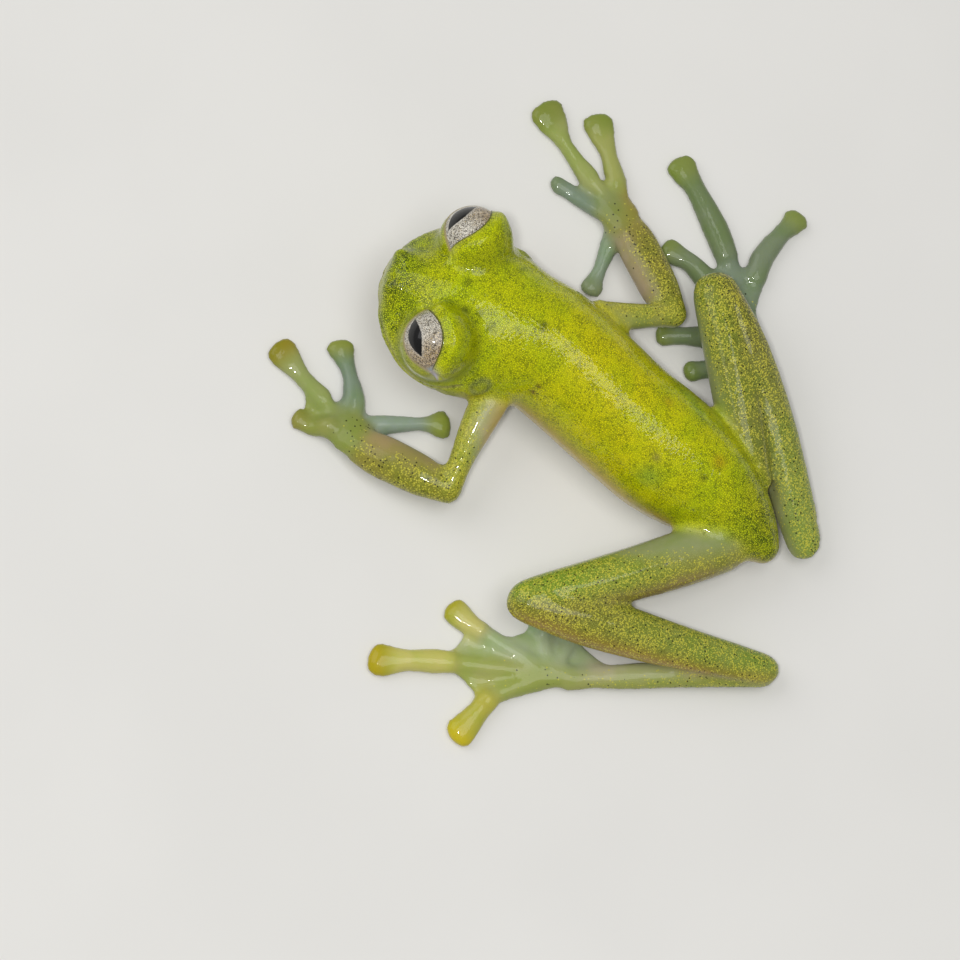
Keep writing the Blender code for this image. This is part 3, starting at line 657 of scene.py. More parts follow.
def shape_head(skin):
    """The folds round the lids, the jaw, sunken cheeks, snout corners, nostrils and mouth."""
    soften(skin, lid_surround, FOLD_STEPS)
    refine(skin, near_mouth)
    points = points_of(skin.data)
    normals = normals_of(skin.data)
    forward, left, up = in_head(points)
    lift = np.zeros(len(points))
    for outward, corner_rise in zip((left, -left), SNOUT_CORNER_RISE):
        jaw = bell(forward - JAW[0], JAW_LENGTH) * bell(up - JAW[2], JAW_WIDTH) * rise(outward, JAW[1], MM)
        lift += JAW_RISE * jaw
        lift -= CHEEK_DEPTH * bell(gap_from(CHEEK, forward, outward, up), CHEEK_WIDTH)
        lift += corner_rise * bell(gap_from(SNOUT_CORNER, forward, outward, up), SNOUT_CORNER_WIDTH)
        nostril = np.hypot(forward - NOSTRIL[0], outward - NOSTRIL[1])
        above = rise(up, *NOSTRIL_ABOVE)
        lift += above * NOSTRIL_RISE * bell(nostril, NOSTRIL_WIDTH)
        lift -= above * NOSTRIL_PIT * bell(nostril, NOSTRIL_HOLE)
    line = mouth_gap(points)
    lift += LIP_RISE * bell(np.abs(line) - LIP_OFFSET, LIP_OFFSET)
    lift -= MOUTH_DEPTH * bell(line, MOUTH_WIDTH)
    set_points(skin.data, points + normals * lift[:, None])


def mouth_gap(points):
    """The upward distance from the mouth's line, far away behind its corners."""
    forward, _, up = in_head(points)
    line = np.interp(forward, [p[0] * MM for p in MOUTH], [p[1] * MM for p in MOUTH])
    return np.where(forward < MOUTH[0][0] * MM, 9 * MM, up - line)


def near_mouth(points):
    return np.abs(mouth_gap(points)) < MOUTH_FINE


# What each patch of skin looks like

def tone(red, green, blue):
    """A colour on the scale from 0 to 255, in the linear values that shaders use."""
    shares = (red / 255, green / 255, blue / 255)
    return np.array([((c + 0.055) / 1.055) ** 2.4 if c > 0.04045 else c / 12.92 for c in shares])


LIME = tone(200, 206, 0)
YELLOW_LIME = tone(216, 204, 0)
SNOUT_GREEN = tone(190, 196, 8)
RUMP_OLIVE = tone(188, 190, 24)
FLANK_OCHRE = tone(190, 162, 44)
BELLY_CREAM = tone(198, 188, 160)
LIP_GREEN = tone(172, 176, 86)
LID_PINK = tone(152, 134, 108)
# Painted shade: the dark line under the upper lids' overhanging edges
UPPER_LID_SHADE = tone(46, 42, 14)
LID_LILAC = tone(176, 170, 176)
EAR_GREY = tone(128, 134, 92)
# Painted shade for the fold round the lids' mounds
FOLD_PAINTED_SHADE = tone(120, 128, 10)
WEB_GREEN = tone(150, 166, 134)
SPECK_OLIVE = tone(66, 76, 8)
SCAR_BROWN = tone(110, 82, 20)
PALE_BROWN = tone(134, 126, 62)
ORANGE_TINT = tone(196, 158, 20)
PATCH_GREEN = tone(132, 172, 60)

# The small marks: the pixel where each shows in the picture, its radius in millimetres, its colour and share
MARKS = {
    "front_speck": ((467, 280), 0.2, SPECK_OLIVE, 0.6),
    "neck_speck_1": ((467, 308), 0.2, SPECK_OLIVE, 0.75),
    "neck_speck_2": ((483, 313), 0.22, SPECK_OLIVE, 0.5),
    "neck_speck_3": ((493, 327), 0.22, SPECK_OLIVE, 0.55),
    "shoulder_speck": ((546, 325), 0.24, SPECK_OLIVE, 0.75),
    "scar": ((532, 393), 0.16, SCAR_BROWN, 0.95),
    "scar_end": ((538, 389), 0.14, SCAR_BROWN, 0.9),
    "pale_mark": ((656, 460), 0.22, PALE_BROWN, 0.8),
    "rear_speck": ((705, 479), 0.17, SPECK_OLIVE, 0.85),
    "orange_1": ((721, 463), 0.4, ORANGE_TINT, 0.7),
    "orange_2": ((670, 399), 0.3, ORANGE_TINT, 0.6),
    "green_1": ((691, 394), 0.6, PATCH_GREEN, 0.6),
    "green_2": ((702, 410), 0.5, PATCH_GREEN, 0.5),
    "green_3": ((649, 477), 0.6, PATCH_GREEN, 0.55),
}

# The colours, from 0 to 255, at the root and far end of each limb part, then of each digit's stem and disc,
# in the order of their numbers
NODE_TONES = {
    "upper_arm_left": ((186, 186, 80), (164, 166, 58)),
    "forearm_left": ((146, 148, 50), (146, 138, 60)),
    "hand_left": ((140, 146, 74), (132, 142, 84)),
    "upper_arm_right": ((176, 174, 72), (162, 164, 70)),
    "forearm_right": ((142, 140, 54), (140, 132, 60)),
    "hand_right": ((138, 138, 74), (130, 140, 88)),
    "thigh_left": ((150, 152, 70), (146, 168, 62)),
    "shank_left": ((146, 142, 62), (140, 158, 70)),
    "tarsus_left": ((152, 158, 72), (154, 158, 84)),
    "foot_left": ((152, 156, 88), (160, 164, 94)),
    "thigh_right": ((128, 132, 60), (142, 150, 58)),
    "shank_right": ((128, 126, 62), (152, 166, 80)),
    "tarsus_right": ((140, 150, 90), (126, 140, 108)),
    "foot_right": ((124, 138, 110), (120, 134, 112)),
}
DIGIT_TONES = {
    "finger_left": ((142, 156, 142), (120, 136, 116), (148, 156, 96), (142, 146, 76)),
    "finger_right": ((130, 146, 126), (120, 136, 116), (154, 160, 96), (154, 158, 88)),
    "toe_left": ((150, 168, 146), (150, 168, 140), (190, 184, 108), (190, 184, 102), (178, 172, 72)),
    "toe_right": ((120, 136, 100), (118, 132, 98), (118, 130, 98), (114, 126, 94), (118, 130, 102)),
}
DISC_TONES = {
    "finger_left": ((136, 146, 64), (134, 142, 60), (142, 130, 34), (140, 134, 60)),
    "finger_right": ((122, 134, 96), (118, 132, 100), (128, 136, 62), (132, 140, 66)),
    "toe_left": ((150, 160, 100), (166, 166, 70), (164, 158, 28), (172, 156, 24), (192, 176, 30)),
    "toe_right": ((124, 136, 72), (124, 136, 72), (124, 136, 72), (124, 136, 66), (126, 138, 70)),
}

# How thick the gold grains and black dots lie on each limb part, from its root to its far end
GRAINS = {
    "upper_arm": (0.8, 0.75), "forearm": (0.9, 0.4), "hand": (0.04, 0.0),
    "thigh": (0.65, 0.95), "shank": (0.9, 0.75), "tarsus": (0.45, 0.2), "foot": (0.04, 0.0),
}
DOTS = {
    "upper_arm": (0.05, 0.5), "forearm": (0.5, 0.8), "hand": (0.5, 0.05),
    "thigh": (0.02, 0.7), "shank": (0.4, 0.5), "tarsus": (0.6, 0.45), "foot": (0.25, 0.0),
}

# Sides of the limbs with few or no grains: the way that they face in the picture, where they start across the
# part, as a share of its half width, at its root and at its far end, and their colour
CLEAR_SIDES = {
    "thigh_left": ((-0.2, 1.0), 0.0, 1.1, (142, 148, 104)),
    "tarsus_left": ((0.0, 1.0), 0.15, 0.1, (176, 172, 140)),
    "forearm_left": ((0.5, 0.85), 0.75, 0.15, (158, 140, 96)),
    "upper_arm_left": ((1.0, -0.3), -0.35, 0.6, (166, 170, 158)),
    "upper_arm_right": ((0.0, -1.0), 0.3, 0.35, (150, 156, 92)),
    "forearm_right": ((-1.0, 0.2), 0.6, 0.5, (160, 144, 116)),
    "foot_left": ((0.1, 1.0), 0.15, 0.25, (160, 172, 136)),
    "thigh_right": ((-1.0, -0.2), 0.62, 0.75, (140, 148, 96)),
    "shank_right": ((-1.0, -0.2), 0.05, 0.2, (146, 150, 104)),
}
BROWN_SIDES = {
    "shank_left": ((-0.1, -1.0), 0.45, 0.75, (166, 138, 66)),
    "upper_arm_left": ((1.0, -0.3), 0.1, 0.75, (190, 162, 112)),
    "hand_right": ((1.0, 0.0), 0.2, 0.7, (154, 140, 70)),
    "thigh_left": ((0.2, -1.0), 0.62, 0.8, (156, 138, 84)),
}
CLEAR_BARE, BROWN_BARE = 1.0, 0.35
SIDE_BLEND = 0.3
HALF_WIDTH_STEPS, HALF_WIDTH_SLICE, LEAST_HALF_WIDTH = 6, 0.15, 0.3 * MM
DISC_PAINT = (0.72, 0.16)
WEB_GAP = (0.3, 0.25)
PATTERN_LAYERS = ("net", "grain", "dots")
BLEND_STEPS = 14
PICTURE_REACH = 0.15 * MM

# Where the trunk's colours change: start and width, forwards from the eyes or by how far the skin faces up
SNOUT_START = (0.9 * MM, 2.0 * MM)
HEAD_START = (-3 * MM, MM)
RUMP_START = (15.5 * MM, 4 * MM)
MIDDLE_PLACE, MIDDLE_LENGTH, MIDDLE_YELLOW = -9 * MM, 4.5 * MM, 0.75
BACK_FACING, SIDE_FACING, NET_FACING = (0.02, 0.4), (-0.55, 0.35), (-0.1, 0.4)
NET_EVEN, NET_SNOUT, NET_RUMP, NET_MIDDLE = 0.75, 0.45, 0.4, 0.1

# The paint on the lids, by angle or by distance from the eye's centre, and on the ears, nostrils and lips
LID_PAINT_FALL, LID_LOWER_PAINT = (2.5 * MM, 0.3 * MM), (0.25, 0.3)
# How strongly the painted shade darkens the fold round the lids
FOLD_SHADE_SHARE = 0.3
RIM_PLACE, RIM_WIDTH, RIM_SHARE, RIM_LOWER_SHARE = 0.01, 0.075, 0.25, 0.7
# The painted shade along the upper lids' edges: its width in radians and its share
UPPER_LID_SHADE_WIDTH, UPPER_LID_SHADE_SHARE = 0.03, 0.85
CORNER_ALONG, CORNER_HEIGHT, CORNER_SQUASH, CORNER_WIDTH, CORNER_GAIN = 0.2, 0.16, 0.8, 0.32, 1.3
# Painted shade on the skin inside the lids' opening, in the recess round the eyeball
LID_INSIDE_SHADE = LID_PINK * 0.35
EAR_BESIDE = (2 * MM, MM)
EAR_RING_WIDTH, EAR_RING_SHARE, EAR_EDGE, EAR_SHARE = 0.13 * MM, 0.65, 0.1 * MM, 0.3
# Painted shade in the nostril pits: its colour, width and share
NOSTRIL_PIT_SHADE, NOSTRIL_PAINT_WIDTH, NOSTRIL_SHADE_SHARE = EAR_GREY * 0.6, 0.16 * MM, 0.7
LIP_WIDTH, LIP_SHARE = 0.09 * MM, 0.7


def picture_point(points, place):
    """The point of the skin that shows at this place in the picture, in pixels."""
    step = VIEW_SIZE / VIEW_PIXELS
    aside = VIEW_RIGHT * (place[0] - VIEW_PIXELS / 2) - PICTURE_UP * (place[1] - VIEW_PIXELS / 2)
    eye = np.array(VIEW_CENTRE + VIEW_BACK * VIEW_DISTANCE)
    ray = np.array((aside * step - VIEW_BACK * VIEW_DISTANCE).normalized())
    away = points - eye
    depth = away @ ray
    off = np.linalg.norm(away - depth[:, None] * ray, axis=1)
    near = np.nonzero(off < PICTURE_REACH)[0]
    return points[near[depth[near].argmin()]]


def smooth_mix(first, second, share):
    share = np.asarray(share)[:, None]
    return first * (1 - share) + second * share


def nearest_nodes(points):
    """The number in FLESH of the node nearest to each point, and how far away it is."""
    corners, faces, owners = [], [], []
    for number, name in enumerate(FLESH):
        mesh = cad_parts[name].data
        first = len(corners)
        corners += [v.co for v in mesh.vertices]
        faces += [[first + v for v in p.vertices] for p in mesh.polygons]
        owners += [number] * len(mesh.polygons)
    tree = BVHTree.FromPolygons(corners, faces)
    found = [tree.find_nearest(p) for p in points.tolist()]
    return np.array([owners[f[2]] for f in found]), np.array([f[3] for f in found])


def limb_lines():
    """The middle line of each limb part and digit, from its root outwards."""
    lines = {}
    for side in SIDES:
        start = middle_of(f"hand_{side}")
        for part in ("forearm", "upper_arm"):
            inwards = line_along(f"{part}_{side}", start)
            lines[f"{part}_{side}"] = inwards[::-1]
            start = inwards[-1]
        lines[f"hand_{side}"] = line_along(f"hand_{side}", lines[f"forearm_{side}"][-1])
        start = torso_end()
        for part in ("thigh", "shank", "tarsus", "foot"):
            lines[f"{part}_{side}"] = line_along(f"{part}_{side}", start)
            start = lines[f"{part}_{side}"][-1]
        for n in range(1, 5):
            lines[f"finger_{side}_{n}"] = line_along(f"finger_{side}_{n}", middle_of(f"hand_{side}"))
        for n in range(1, 6):
            lines[f"toe_{side}_{n}"] = line_along(f"toe_{side}_{n}", lines[f"tarsus_{side}"][-1])
    return lines


def share_along(points, line):
    way = line[-1] - line[0]
    return np.clip((points - line[0]) @ way / (way @ way), -0.1, 1.1)


def side_share(points, line, name, facing):
    """How far each point lies to one side of a limb, as a share of its half width."""
    way = line[-1] - line[0]
    way = way / np.linalg.norm(way)
    side = np.array(VIEW_RIGHT * facing[0] + PICTURE_UP * facing[1])
    side = side - way * (side @ way)
    side = side / np.linalg.norm(side)
    own = points_of(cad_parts[name].data)
    own_share = share_along(own, line)
    own_reach = np.abs((own - line[0]) @ side)
    bins = np.linspace(0, 1, HALF_WIDTH_STEPS)
    slices = [own_reach[np.abs(own_share - b) < HALF_WIDTH_SLICE] for b in bins]
    half = [max(reach.max(initial=0), LEAST_HALF_WIDTH) for reach in slices]
    return (points - line[0]) @ side / np.interp(share_along(points, line), bins, half)


def paint_limb(name, points, line, paint):
    kind = name.rsplit("_", 1)[0]
    share = ease(share_along(points, line))
    root_tone, far_tone = NODE_TONES[name]
    paint["tint"] = smooth_mix(tone(*root_tone), tone(*far_tone), share)
    paint["grain"] = np.interp(share, (0, 1), GRAINS[kind])
    paint["dots"] = np.interp(share, (0, 1), DOTS[kind])
    for sides, bare in ((CLEAR_SIDES, CLEAR_BARE), (BROWN_SIDES, BROWN_BARE)):
        if name in sides:
            facing, root_edge, far_edge, colour = sides[name]
            edge = root_edge + (far_edge - root_edge) * share
            beyond = side_share(points, line, name, facing) - edge
            cover = ease(beyond / SIDE_BLEND + 0.5)
            paint["tint"] = smooth_mix(paint["tint"], tone(*colour), cover)
            paint["grain"] = paint["grain"] * (1 - bare * cover)
            paint["dots"] = paint["dots"] * (1 - bare * cover)


def paint_digit(name, points, line, paint):
    kind, number = name.rsplit("_", 1)
    stem, pad = (tone(*table[kind][int(number) - 1]) for table in (DIGIT_TONES, DISC_TONES))
    paint["tint"] = smooth_mix(stem, pad, rise(share_along(points, line), *DISC_PAINT))


def paint_trunk(points, upward, paint):
    """Lime above, ochre along the flanks, cream below, and darker on the snout and the rump."""
    forward, _, _ = in_head(points)
    snout = rise(forward, *SNOUT_START)
    middle = bell(forward - MIDDLE_PLACE, MIDDLE_LENGTH)
    rump = rise(-forward, *RUMP_START)
    back = smooth_mix(LIME, YELLOW_LIME, MIDDLE_YELLOW * middle)
    back = smooth_mix(back, SNOUT_GREEN, snout)
    back = smooth_mix(back, RUMP_OLIVE, rump)
    low = smooth_mix(FLANK_OCHRE, LIP_GREEN, rise(forward, *HEAD_START))
    side = smooth_mix(low, back, rise(upward, *BACK_FACING))
    paint["tint"] = smooth_mix(BELLY_CREAM, side, rise(upward, *SIDE_FACING))
    density = NET_EVEN + NET_SNOUT * snout + NET_RUMP * rump - NET_MIDDLE * middle
    paint["net"] = rise(upward, *NET_FACING) * density


def paint_skin(skin):
    """The skin's colour and patterns at each point, by the node nearest to it."""
    points = points_of(skin.data)
    normals = normals_of(skin.data)
    edges = edges_of(skin.data)
    owner, gap = nearest_nodes(points)
    layers = {name: np.zeros(len(points)) for name in PATTERN_LAYERS}
    layers["tint"] = np.zeros((len(points), 3))
    lines = limb_lines()
    for number, name in enumerate(FLESH):
        own = np.nonzero(owner == number)[0]
        paint = {layer: np.zeros(len(own)) for layer in PATTERN_LAYERS}
        if name in ("torso", "head"):
            paint_trunk(points[own], normals[own, 2], paint)
        elif name in NODE_TONES:
            paint_limb(name, points[own], lines[name], paint)
        else:
            paint_digit(name, points[own], lines[name], paint)
        for layer, values in paint.items():
            layers[layer][own] = values
        if name not in ("torso", "head", "foot_left"):
            web = rise(gap[own] / MM, *WEB_GAP)
            layers["tint"][own] = smooth_mix(layers["tint"][own], WEB_GREEN, web)
    for layer in layers:
        layers[layer] = even_out(layers[layer], edges, BLEND_STEPS)
    paint_head(points, layers)
    return layers


def paint_head(points, layers):
    """The lids' rims, the ears, the small marks and the lips, and painted shade in the folds round the lids,
    inside the lids' opening, under the upper lids' edges and in the nostril pits.
    """
    tint = layers["tint"]
    bare = np.zeros(len(points))
    for side in SIDES:
        angle, radius, along, height = lid_distance(points, side)
        near = fall(radius, *LID_PAINT_FALL)
        # Painted shade in the fold round the lid mound
        tint = smooth_mix(tint, FOLD_PAINTED_SHADE, near * lid_surround(points) * FOLD_SHADE_SHARE)
        lower = fall(height, *LID_LOWER_PAINT)
        rim = bell(angle - RIM_PLACE, RIM_WIDTH) * near
        tint = smooth_mix(tint, LID_PINK, rim * (RIM_SHARE + RIM_LOWER_SHARE * lower))
        # Painted shade: a dark line along the upper lid's edge, under its overhang
        tint = smooth_mix(tint, UPPER_LID_SHADE, UPPER_LID_SHADE_SHARE * bell(angle, UPPER_LID_SHADE_WIDTH) * near * (1 - lower))
        beyond = np.hypot(along - LID_CORNER - CORNER_ALONG, (height - CORNER_HEIGHT) * CORNER_SQUASH)
        corner = bell(beyond, CORNER_WIDTH) * near
        tint = smooth_mix(tint, LID_LILAC, np.clip(CORNER_GAIN * corner, 0, 1))
        # Painted shade on the skin pressed in behind the lids' opening
        inside = ease(-angle / LID_WALL) * near
        tint = smooth_mix(tint, LID_INSIDE_SHADE, inside)
        bare = np.maximum(bare, np.maximum(rim * lower, np.maximum(corner, inside)))
    forward, left, up = in_head(points)
    ear = np.hypot(forward - EAR[0], up - EAR[1])
    beside = rise(np.abs(left), *EAR_BESIDE)
    ring = bell(ear - EAR_RING, EAR_RING_WIDTH)
    tint = smooth_mix(tint, EAR_GREY, EAR_RING_SHARE * beside * ring)
    tint = smooth_mix(tint, EAR_GREY, EAR_SHARE * beside * fall(ear, EAR_RING, EAR_EDGE))
    for outward in (left, -left):
        # Painted shade in the nostril pits
        pit_shade = bell(np.hypot(forward - NOSTRIL[0], outward - NOSTRIL[1]), NOSTRIL_PAINT_WIDTH)
        tint = smooth_mix(tint, NOSTRIL_PIT_SHADE, NOSTRIL_SHADE_SHARE * pit_shade * rise(up, *NOSTRIL_ABOVE))
    for place, radius, colour, share in MARKS.values():
        spot = picture_point(points, place)
        tint = smooth_mix(tint, colour, share * bell(np.linalg.norm(points - spot, axis=1), radius * MM))
    layers["tint"] = smooth_mix(tint, LID_PINK, LIP_SHARE * bell(mouth_gap(points), LIP_WIDTH))
    layers["net"] = layers["net"] * (1 - bare)


def store_layers(mesh, layers):
    colour = mesh.attributes.new("tint", "FLOAT_COLOR", "POINT")
    full = np.concatenate([layers["tint"], np.ones((len(layers["tint"]), 1))], axis=1)
    colour.data.foreach_set("color", full.astype(np.float32).ravel())
    for name in PATTERN_LAYERS:
        layer = mesh.attributes.new(name, "FLOAT", "POINT")
        layer.data.foreach_set("value", layers[name].astype(np.float32))


# Materials

def new_material(name):
    material = bpy.data.materials.new(name)
    material.use_nodes = True
    return material, material.node_tree, material.node_tree.nodes["Principled BSDF"]


def put(tree, kind, **settings):
    """Adds a shader node with these settings."""
    made = tree.nodes.new(kind)
    for name, value in settings.items():
        setattr(made, name, value)
    return made


def feed(kind, inputs, **settings):
    """Adds a shader node beside those that feed it. Each input is a plain value or another node's output."""
    feeders = {name: value for name, value in inputs.items() if isinstance(value, bpy.types.NodeSocket)}
    tree = next(iter(feeders.values())).id_data
    made = put(tree, kind, **settings)
    for name, value in inputs.items():
        if name in feeders:
            tree.links.new(value, made.inputs[name])
        else:
            made.inputs[name].default_value = value
    return made


def maths(operation, first, second=0.0, third=0.0):
    return feed("ShaderNodeMath", {0: first, 1: second, 2: third}, operation=operation).outputs[0]


def times(first, second):
    return maths("MULTIPLY", first, second)


def scaled(value, factor, start):
    """The value times factor, plus start."""
    return maths("MULTIPLY_ADD", value, factor, start)


def step_between(value, low, high):
    """From 0 at low to 1 at high, smoothly; low may be the greater."""
    inputs = {"Value": value, "From Min": low, "From Max": high}
    return feed("ShaderNodeMapRange", inputs, interpolation_type="SMOOTHSTEP").outputs[0]


def mixed(share, first, second, blend="MIX"):
    inputs = {0: share, 6: first, 7: second}
    return feed("ShaderNodeMix", inputs, data_type="RGBA", blend_type=blend, clamp_factor=True).outputs[2]


def solid(colour):
    return (*colour, 1.0)


def shaded(share, colour, shade):
    """The colour, multiplied by the shade as far as share says."""
    return mixed(share, colour, mixed(1.0, colour, solid(shade), "MULTIPLY"))


def layer_of(tree, name, output="Fac"):
    return put(tree, "ShaderNodeAttribute", attribute_name=name).outputs[output]


def cells(where, scale, feature="F1"):
    return feed("ShaderNodeTexVoronoi", {"Vector": where, "Scale": scale}, feature=feature)


def cell_edges(where, scale):
    """The distance from each point to the nearest edge of its cell."""
    return cells(where, scale, "DISTANCE_TO_EDGE").outputs["Distance"]


def noise(where, scale, detail=2.0):
    return feed("ShaderNodeTexNoise", {"Vector": where, "Scale": scale, "Detail": detail}).outputs["Fac"]


def spots(where, scale, size, share):
    """Round spots in some of the cells of a pattern, more of them where share is greater."""
    field = cells(where, scale)
    chance = feed("ShaderNodeSeparateColor", {0: field.outputs["Color"]}).outputs[0]
    present = maths("LESS_THAN", chance, share)
    inside = step_between(field.outputs["Distance"], size, size * SPOT_CORE)
    return times(present, inside)


def bump(height, strength, distance):
    return feed("ShaderNodeBump", {"Height": height, "Strength": strength, "Distance": distance}).outputs[0]


def finish_surface(surface, fed, plain):
    """Links the surface's inputs that patterns feed, and sets its plain values."""
    for name, value in fed.items():
        surface.id_data.links.new(value, surface.inputs[name])
    for name, value in plain.items():
        surface.inputs[name].default_value = value


def skin_material():
    """Moist skin: a fine dark net on the back, gold grains and black dots on the limbs."""
    material, tree, surface = new_material("moist_frog_skin")
    where = put(tree, "ShaderNodeTexCoord").outputs["Object"]
    tint = layer_of(tree, "tint", "Color")
    net, grain, dots = (layer_of(tree, name) for name in PATTERN_LAYERS)
    patches = noise(where, PATCH_SCALE, 3.0)
    fine = noise(where, FINE_SCALE, 3.0)
    colour = shaded(step_between(patches, *PATCH_RANGE), tint, PATCH_TONE)
    edge = cell_edges(where, NET_SCALE)
    thread = step_between(edge, NET_THREAD, NET_CORE)
    density = step_between(noise(where, NET_PATCH_SCALE, 3.0), *NET_PATCH_RANGE)
    dark = times(times(thread, net), scaled(density, *NET_DENSITY))
    colour = shaded(dark, colour, NET_TONE)
    share = times(net, scaled(density, *SPECK_DENSITY))
    speck = spots(where, SPECK_SCALE, SPECK_SIZE, share)
    colour = mixed(times(speck, SPECK_COVER), colour, solid(SPECK_TONE))
    colour = shaded(times(thread, grain), colour, GRAIN_SHADE)
    share = times(grain, scaled(density, *GRAIN_DENSITY))
    gold = spots(where, GRAIN_SCALE, GRAIN_SIZE, share)
    colour = mixed(times(gold, GRAIN_COVER), colour, solid(GOLD_TONE))
    black = spots(where, DOT_SCALE, DOT_SIZE, times(dots, DOT_SHARE))
    colour = mixed(times(black, DOT_COVER), colour, solid(DOT_TONE))
    grid = times(edge, scaled(net, *BUMP_NET))
    height = maths("ADD", grid, times(fine, BUMP_FINE))
    height = scaled(gold, BUMP_GRAIN, height)
    wet = times(noise(where, FILM_SCALE, 1.0), scaled(net, *FILM_NET))
    fed = {
        "Base Color": colour,
        "Roughness": scaled(fine, *SKIN_ROUGH),
        "Normal": bump(height, BUMP_STRENGTH, BUMP_HEIGHT),
        "Coat Normal": bump(wet, 1.0, FILM_HEIGHT),
    }
    finish_surface(surface, fed, SKIN_FINISH)
    return material


def eye_material():
    """A silvery iris with a fine dark mesh and gold flecks, and a dark level pupil, under a wet film."""
    material, tree, surface = new_material("wet_silver_eye")
    gaze = put(tree, "ShaderNodeUVMap", uv_map="gaze").outputs[0]
    where = put(tree, "ShaderNodeTexCoord").outputs["Object"]
    centre = {0: gaze, 1: (0.5, 0.5, 0.0)}
    centred = feed("ShaderNodeVectorMath", centre, operation="SUBTRACT").outputs[0]
    turned = {0: centred, "Scale": math.pi}
    angles = feed("ShaderNodeVectorMath", turned, operation="SCALE").outputs[0]
    parts = feed("ShaderNodeSeparateXYZ", {0: angles})
    along, height = parts.outputs[0], parts.outputs[1]
    from_end = maths("DIVIDE", maths("ABSOLUTE", along), PUPIL_LENGTH)
    room = scaled(maths("POWER", from_end, PUPIL_ROUND), -PUPIL_HEIGHT, PUPIL_HEIGHT)
    ragged = scaled(noise(where, PUPIL_RAG_SCALE), *PUPIL_RAG)
    edge = maths("ADD", room, ragged)
    reach = maths("SUBTRACT", maths("ABSOLUTE", height), edge)
    out = feed("ShaderNodeVectorMath", {0: angles}, operation="LENGTH").outputs["Value"]
    cloud = times(noise(where, WARM_SCALE), WARM_CLOUD)
    warm = step_between(maths("ADD", times(along, WARM_ALONG), cloud), *WARM_RANGE)
    colour = mixed(times(warm, WARM_COVER), solid(IRIS_SILVER), solid(IRIS_TAN))
    flecks = spots(where, FLECK_SCALE, FLECK_SIZE, scaled(warm, *FLECK_SHARE))
    colour = mixed(flecks, colour, solid(IRIS_GOLD))
    threads = step_between(cell_edges(where, IRIS_MESH_SCALE), *IRIS_MESH_RANGE)
    patches = step_between(noise(where, IRIS_MESH_PATCHES, 3.0), *IRIS_MESH_PATCH_RANGE)
    cover = times(times(threads, patches), IRIS_MESH_COVER)
    colour = mixed(cover, colour, solid(IRIS_BROWN))
    colour = mixed(step_between(out, *IRIS_RIM), colour, solid(EYE_BLUE))
    halo = times(step_between(reach, *HALO_RANGE), HALO_COVER)
    colour = mixed(halo, colour, solid(PUPIL_HALO))
    colour = mixed(step_between(reach, *PUPIL_EDGE), colour, solid(PUPIL_TONE))
    rough = scaled(threads, *IRIS_ROUGH)
    finish_surface(surface, {"Base Color": colour, "Roughness": rough}, EYE_FINISH)
    return material


def make_eye(side, material):
    """A ball with a slightly raised cornea, and its own map of the angles from the gaze."""
    deselect_all()
    sizes = {"segments": EYE_SEGMENTS, "ring_count": EYE_RINGS, "radius": EYE_RADIUS}
    bpy.ops.mesh.primitive_uv_sphere_add(calc_uvs=False, **sizes)
    eye = bpy.context.active_object
    eye.name = eye.data.name = f"{side}_eyeball"
    points = points_of(eye.data)
    off_axis = np.arccos(np.clip(points[:, 2] / EYE_RADIUS, -1, 1))
    points = points * (1 + CORNEA_RISE / EYE_RADIUS * ease(1 - off_axis / CORNEA))[:, None]
    turn = np.arctan2(points[:, 1], points[:, 0])
    share = 0.5 + (off_axis / math.pi)[:, None] * np.stack([np.cos(turn), np.sin(turn)], 1)
    gaze_map = eye.data.uv_layers.new(name="gaze")
    corners = np.empty(len(eye.data.loops), np.int32)
    eye.data.loops.foreach_get("vertex_index", corners)
    gaze_map.data.foreach_set("uv", share[corners].astype(np.float32).ravel())
    axis, long_axis, upright = aim(side, GAZE, GAZE_ROLL)
    set_points(eye.data, eye_centre(side) + points @ np.array([long_axis, upright, axis]))
    if np.dot(np.cross(long_axis, upright), axis) < 0:
        eye.data.flip_normals()
    eye.data.shade_smooth()
    eye.data.materials.append(material)
    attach(eye, "root")
    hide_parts(f"eye_{side}")


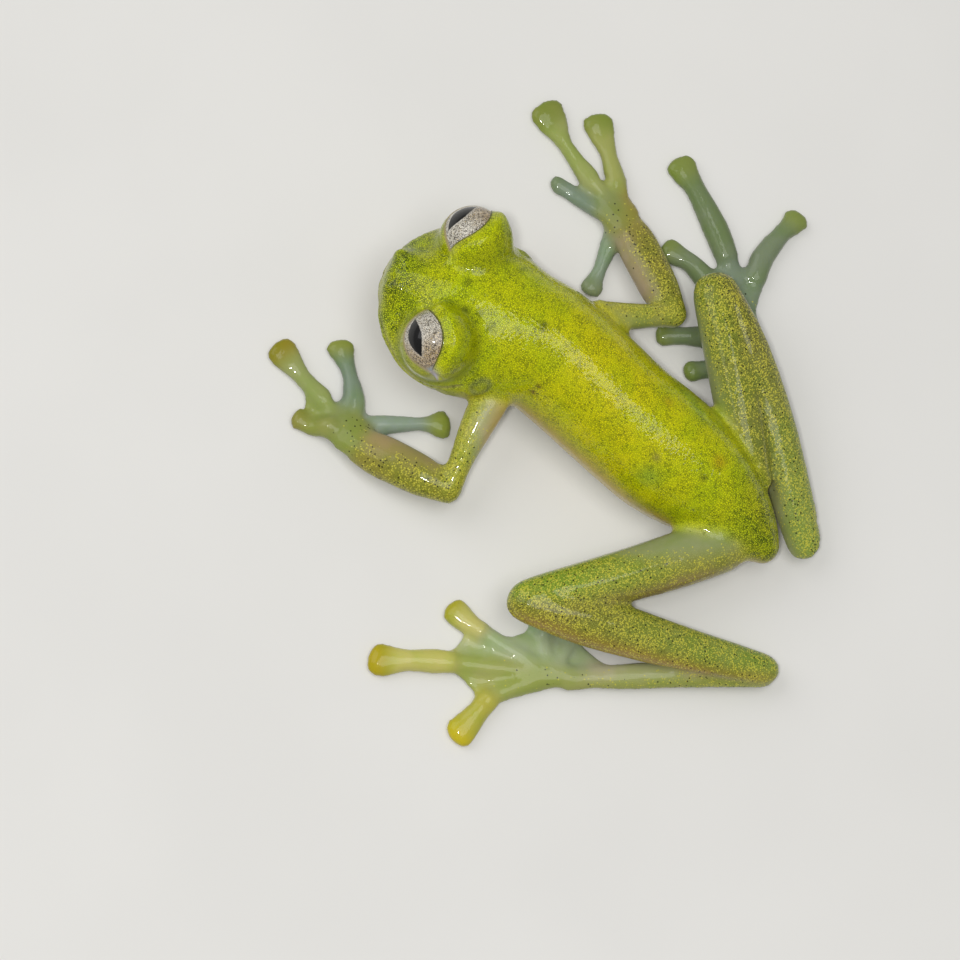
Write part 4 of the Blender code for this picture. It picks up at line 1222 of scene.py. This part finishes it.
def floor_material():
    """Pale matt board with the faintest mottling."""
    material, tree, surface = new_material("pale_matt_board")
    where = put(tree, "ShaderNodeTexCoord").outputs["Object"]
    cloudy = step_between(noise(where, FLOOR_PATCH_SCALE, 3.0), *FLOOR_PATCH_RANGE)
    colour = mixed(cloudy, solid(FLOOR_TONE), solid(FLOOR_TONE * FLOOR_SHADE))
    finish_surface(surface, {"Base Color": colour}, FLOOR_FINISH)
    return material


# Camera and light

def set_camera():
    data = bpy.data.cameras.new("camera")
    data.sensor_width = SENSOR
    data.lens = SENSOR * VIEW_DISTANCE / VIEW_SIZE
    data.clip_start = CLIP_START
    camera = bpy.data.objects.new("camera", data)
    bpy.context.scene.collection.objects.link(camera)
    matrix = Matrix((VIEW_RIGHT, PICTURE_UP, VIEW_BACK)).transposed().to_4x4()
    matrix.translation = VIEW_CENTRE + VIEW_BACK * VIEW_DISTANCE
    camera.matrix_world = matrix
    bpy.context.scene.camera = camera


def area_light(name, way, reach, size, power):
    light = bpy.data.lights.new(name, "AREA")
    light.energy = power
    light.size = size
    lamp = bpy.data.objects.new(name, light)
    bpy.context.scene.collection.objects.link(lamp)
    place = (VIEW_BACK * way[0] + PICTURE_UP * way[1] + VIEW_RIGHT * way[2]) * reach
    lamp.location = VIEW_CENTRE + place
    lamp.rotation_euler = place.to_track_quat("Z", "Y").to_euler()


# The skin, with nothing below the floor, and the eyes

skin = join_flesh()
soften(skin, near_joints, JOINT_STEPS)
shape_head(skin)
open_lids(skin)
points = points_of(skin.data)
points[:, 2] = np.maximum(points[:, 2], 0.0)
set_points(skin.data, points)
store_layers(skin.data, paint_skin(skin))
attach(skin, "root")
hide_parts(*FLESH)
skin.data.materials.clear()
skin.data.materials.append(skin_material())
skin.data.shade_smooth()
wet_eye = eye_material()
for side in SIDES:
    make_eye(side, wet_eye)

# The scene round the frog

set_camera()
for name, settings in LIGHTS.items():
    area_light(name, *settings)
world = bpy.data.worlds.new("world")
bpy.context.scene.world = world
world.use_nodes = True
world.node_tree.nodes["Background"].inputs[0].default_value = (1, 1, 1, 1)
world.node_tree.nodes["Background"].inputs[1].default_value = WORLD_LIGHT
bpy.context.scene.view_settings.view_transform = "Standard"
deselect_all()
bpy.ops.mesh.primitive_plane_add(size=FLOOR_SIZE)
floor = bpy.context.active_object
floor.name = "floor"
floor.data.materials.append(floor_material())
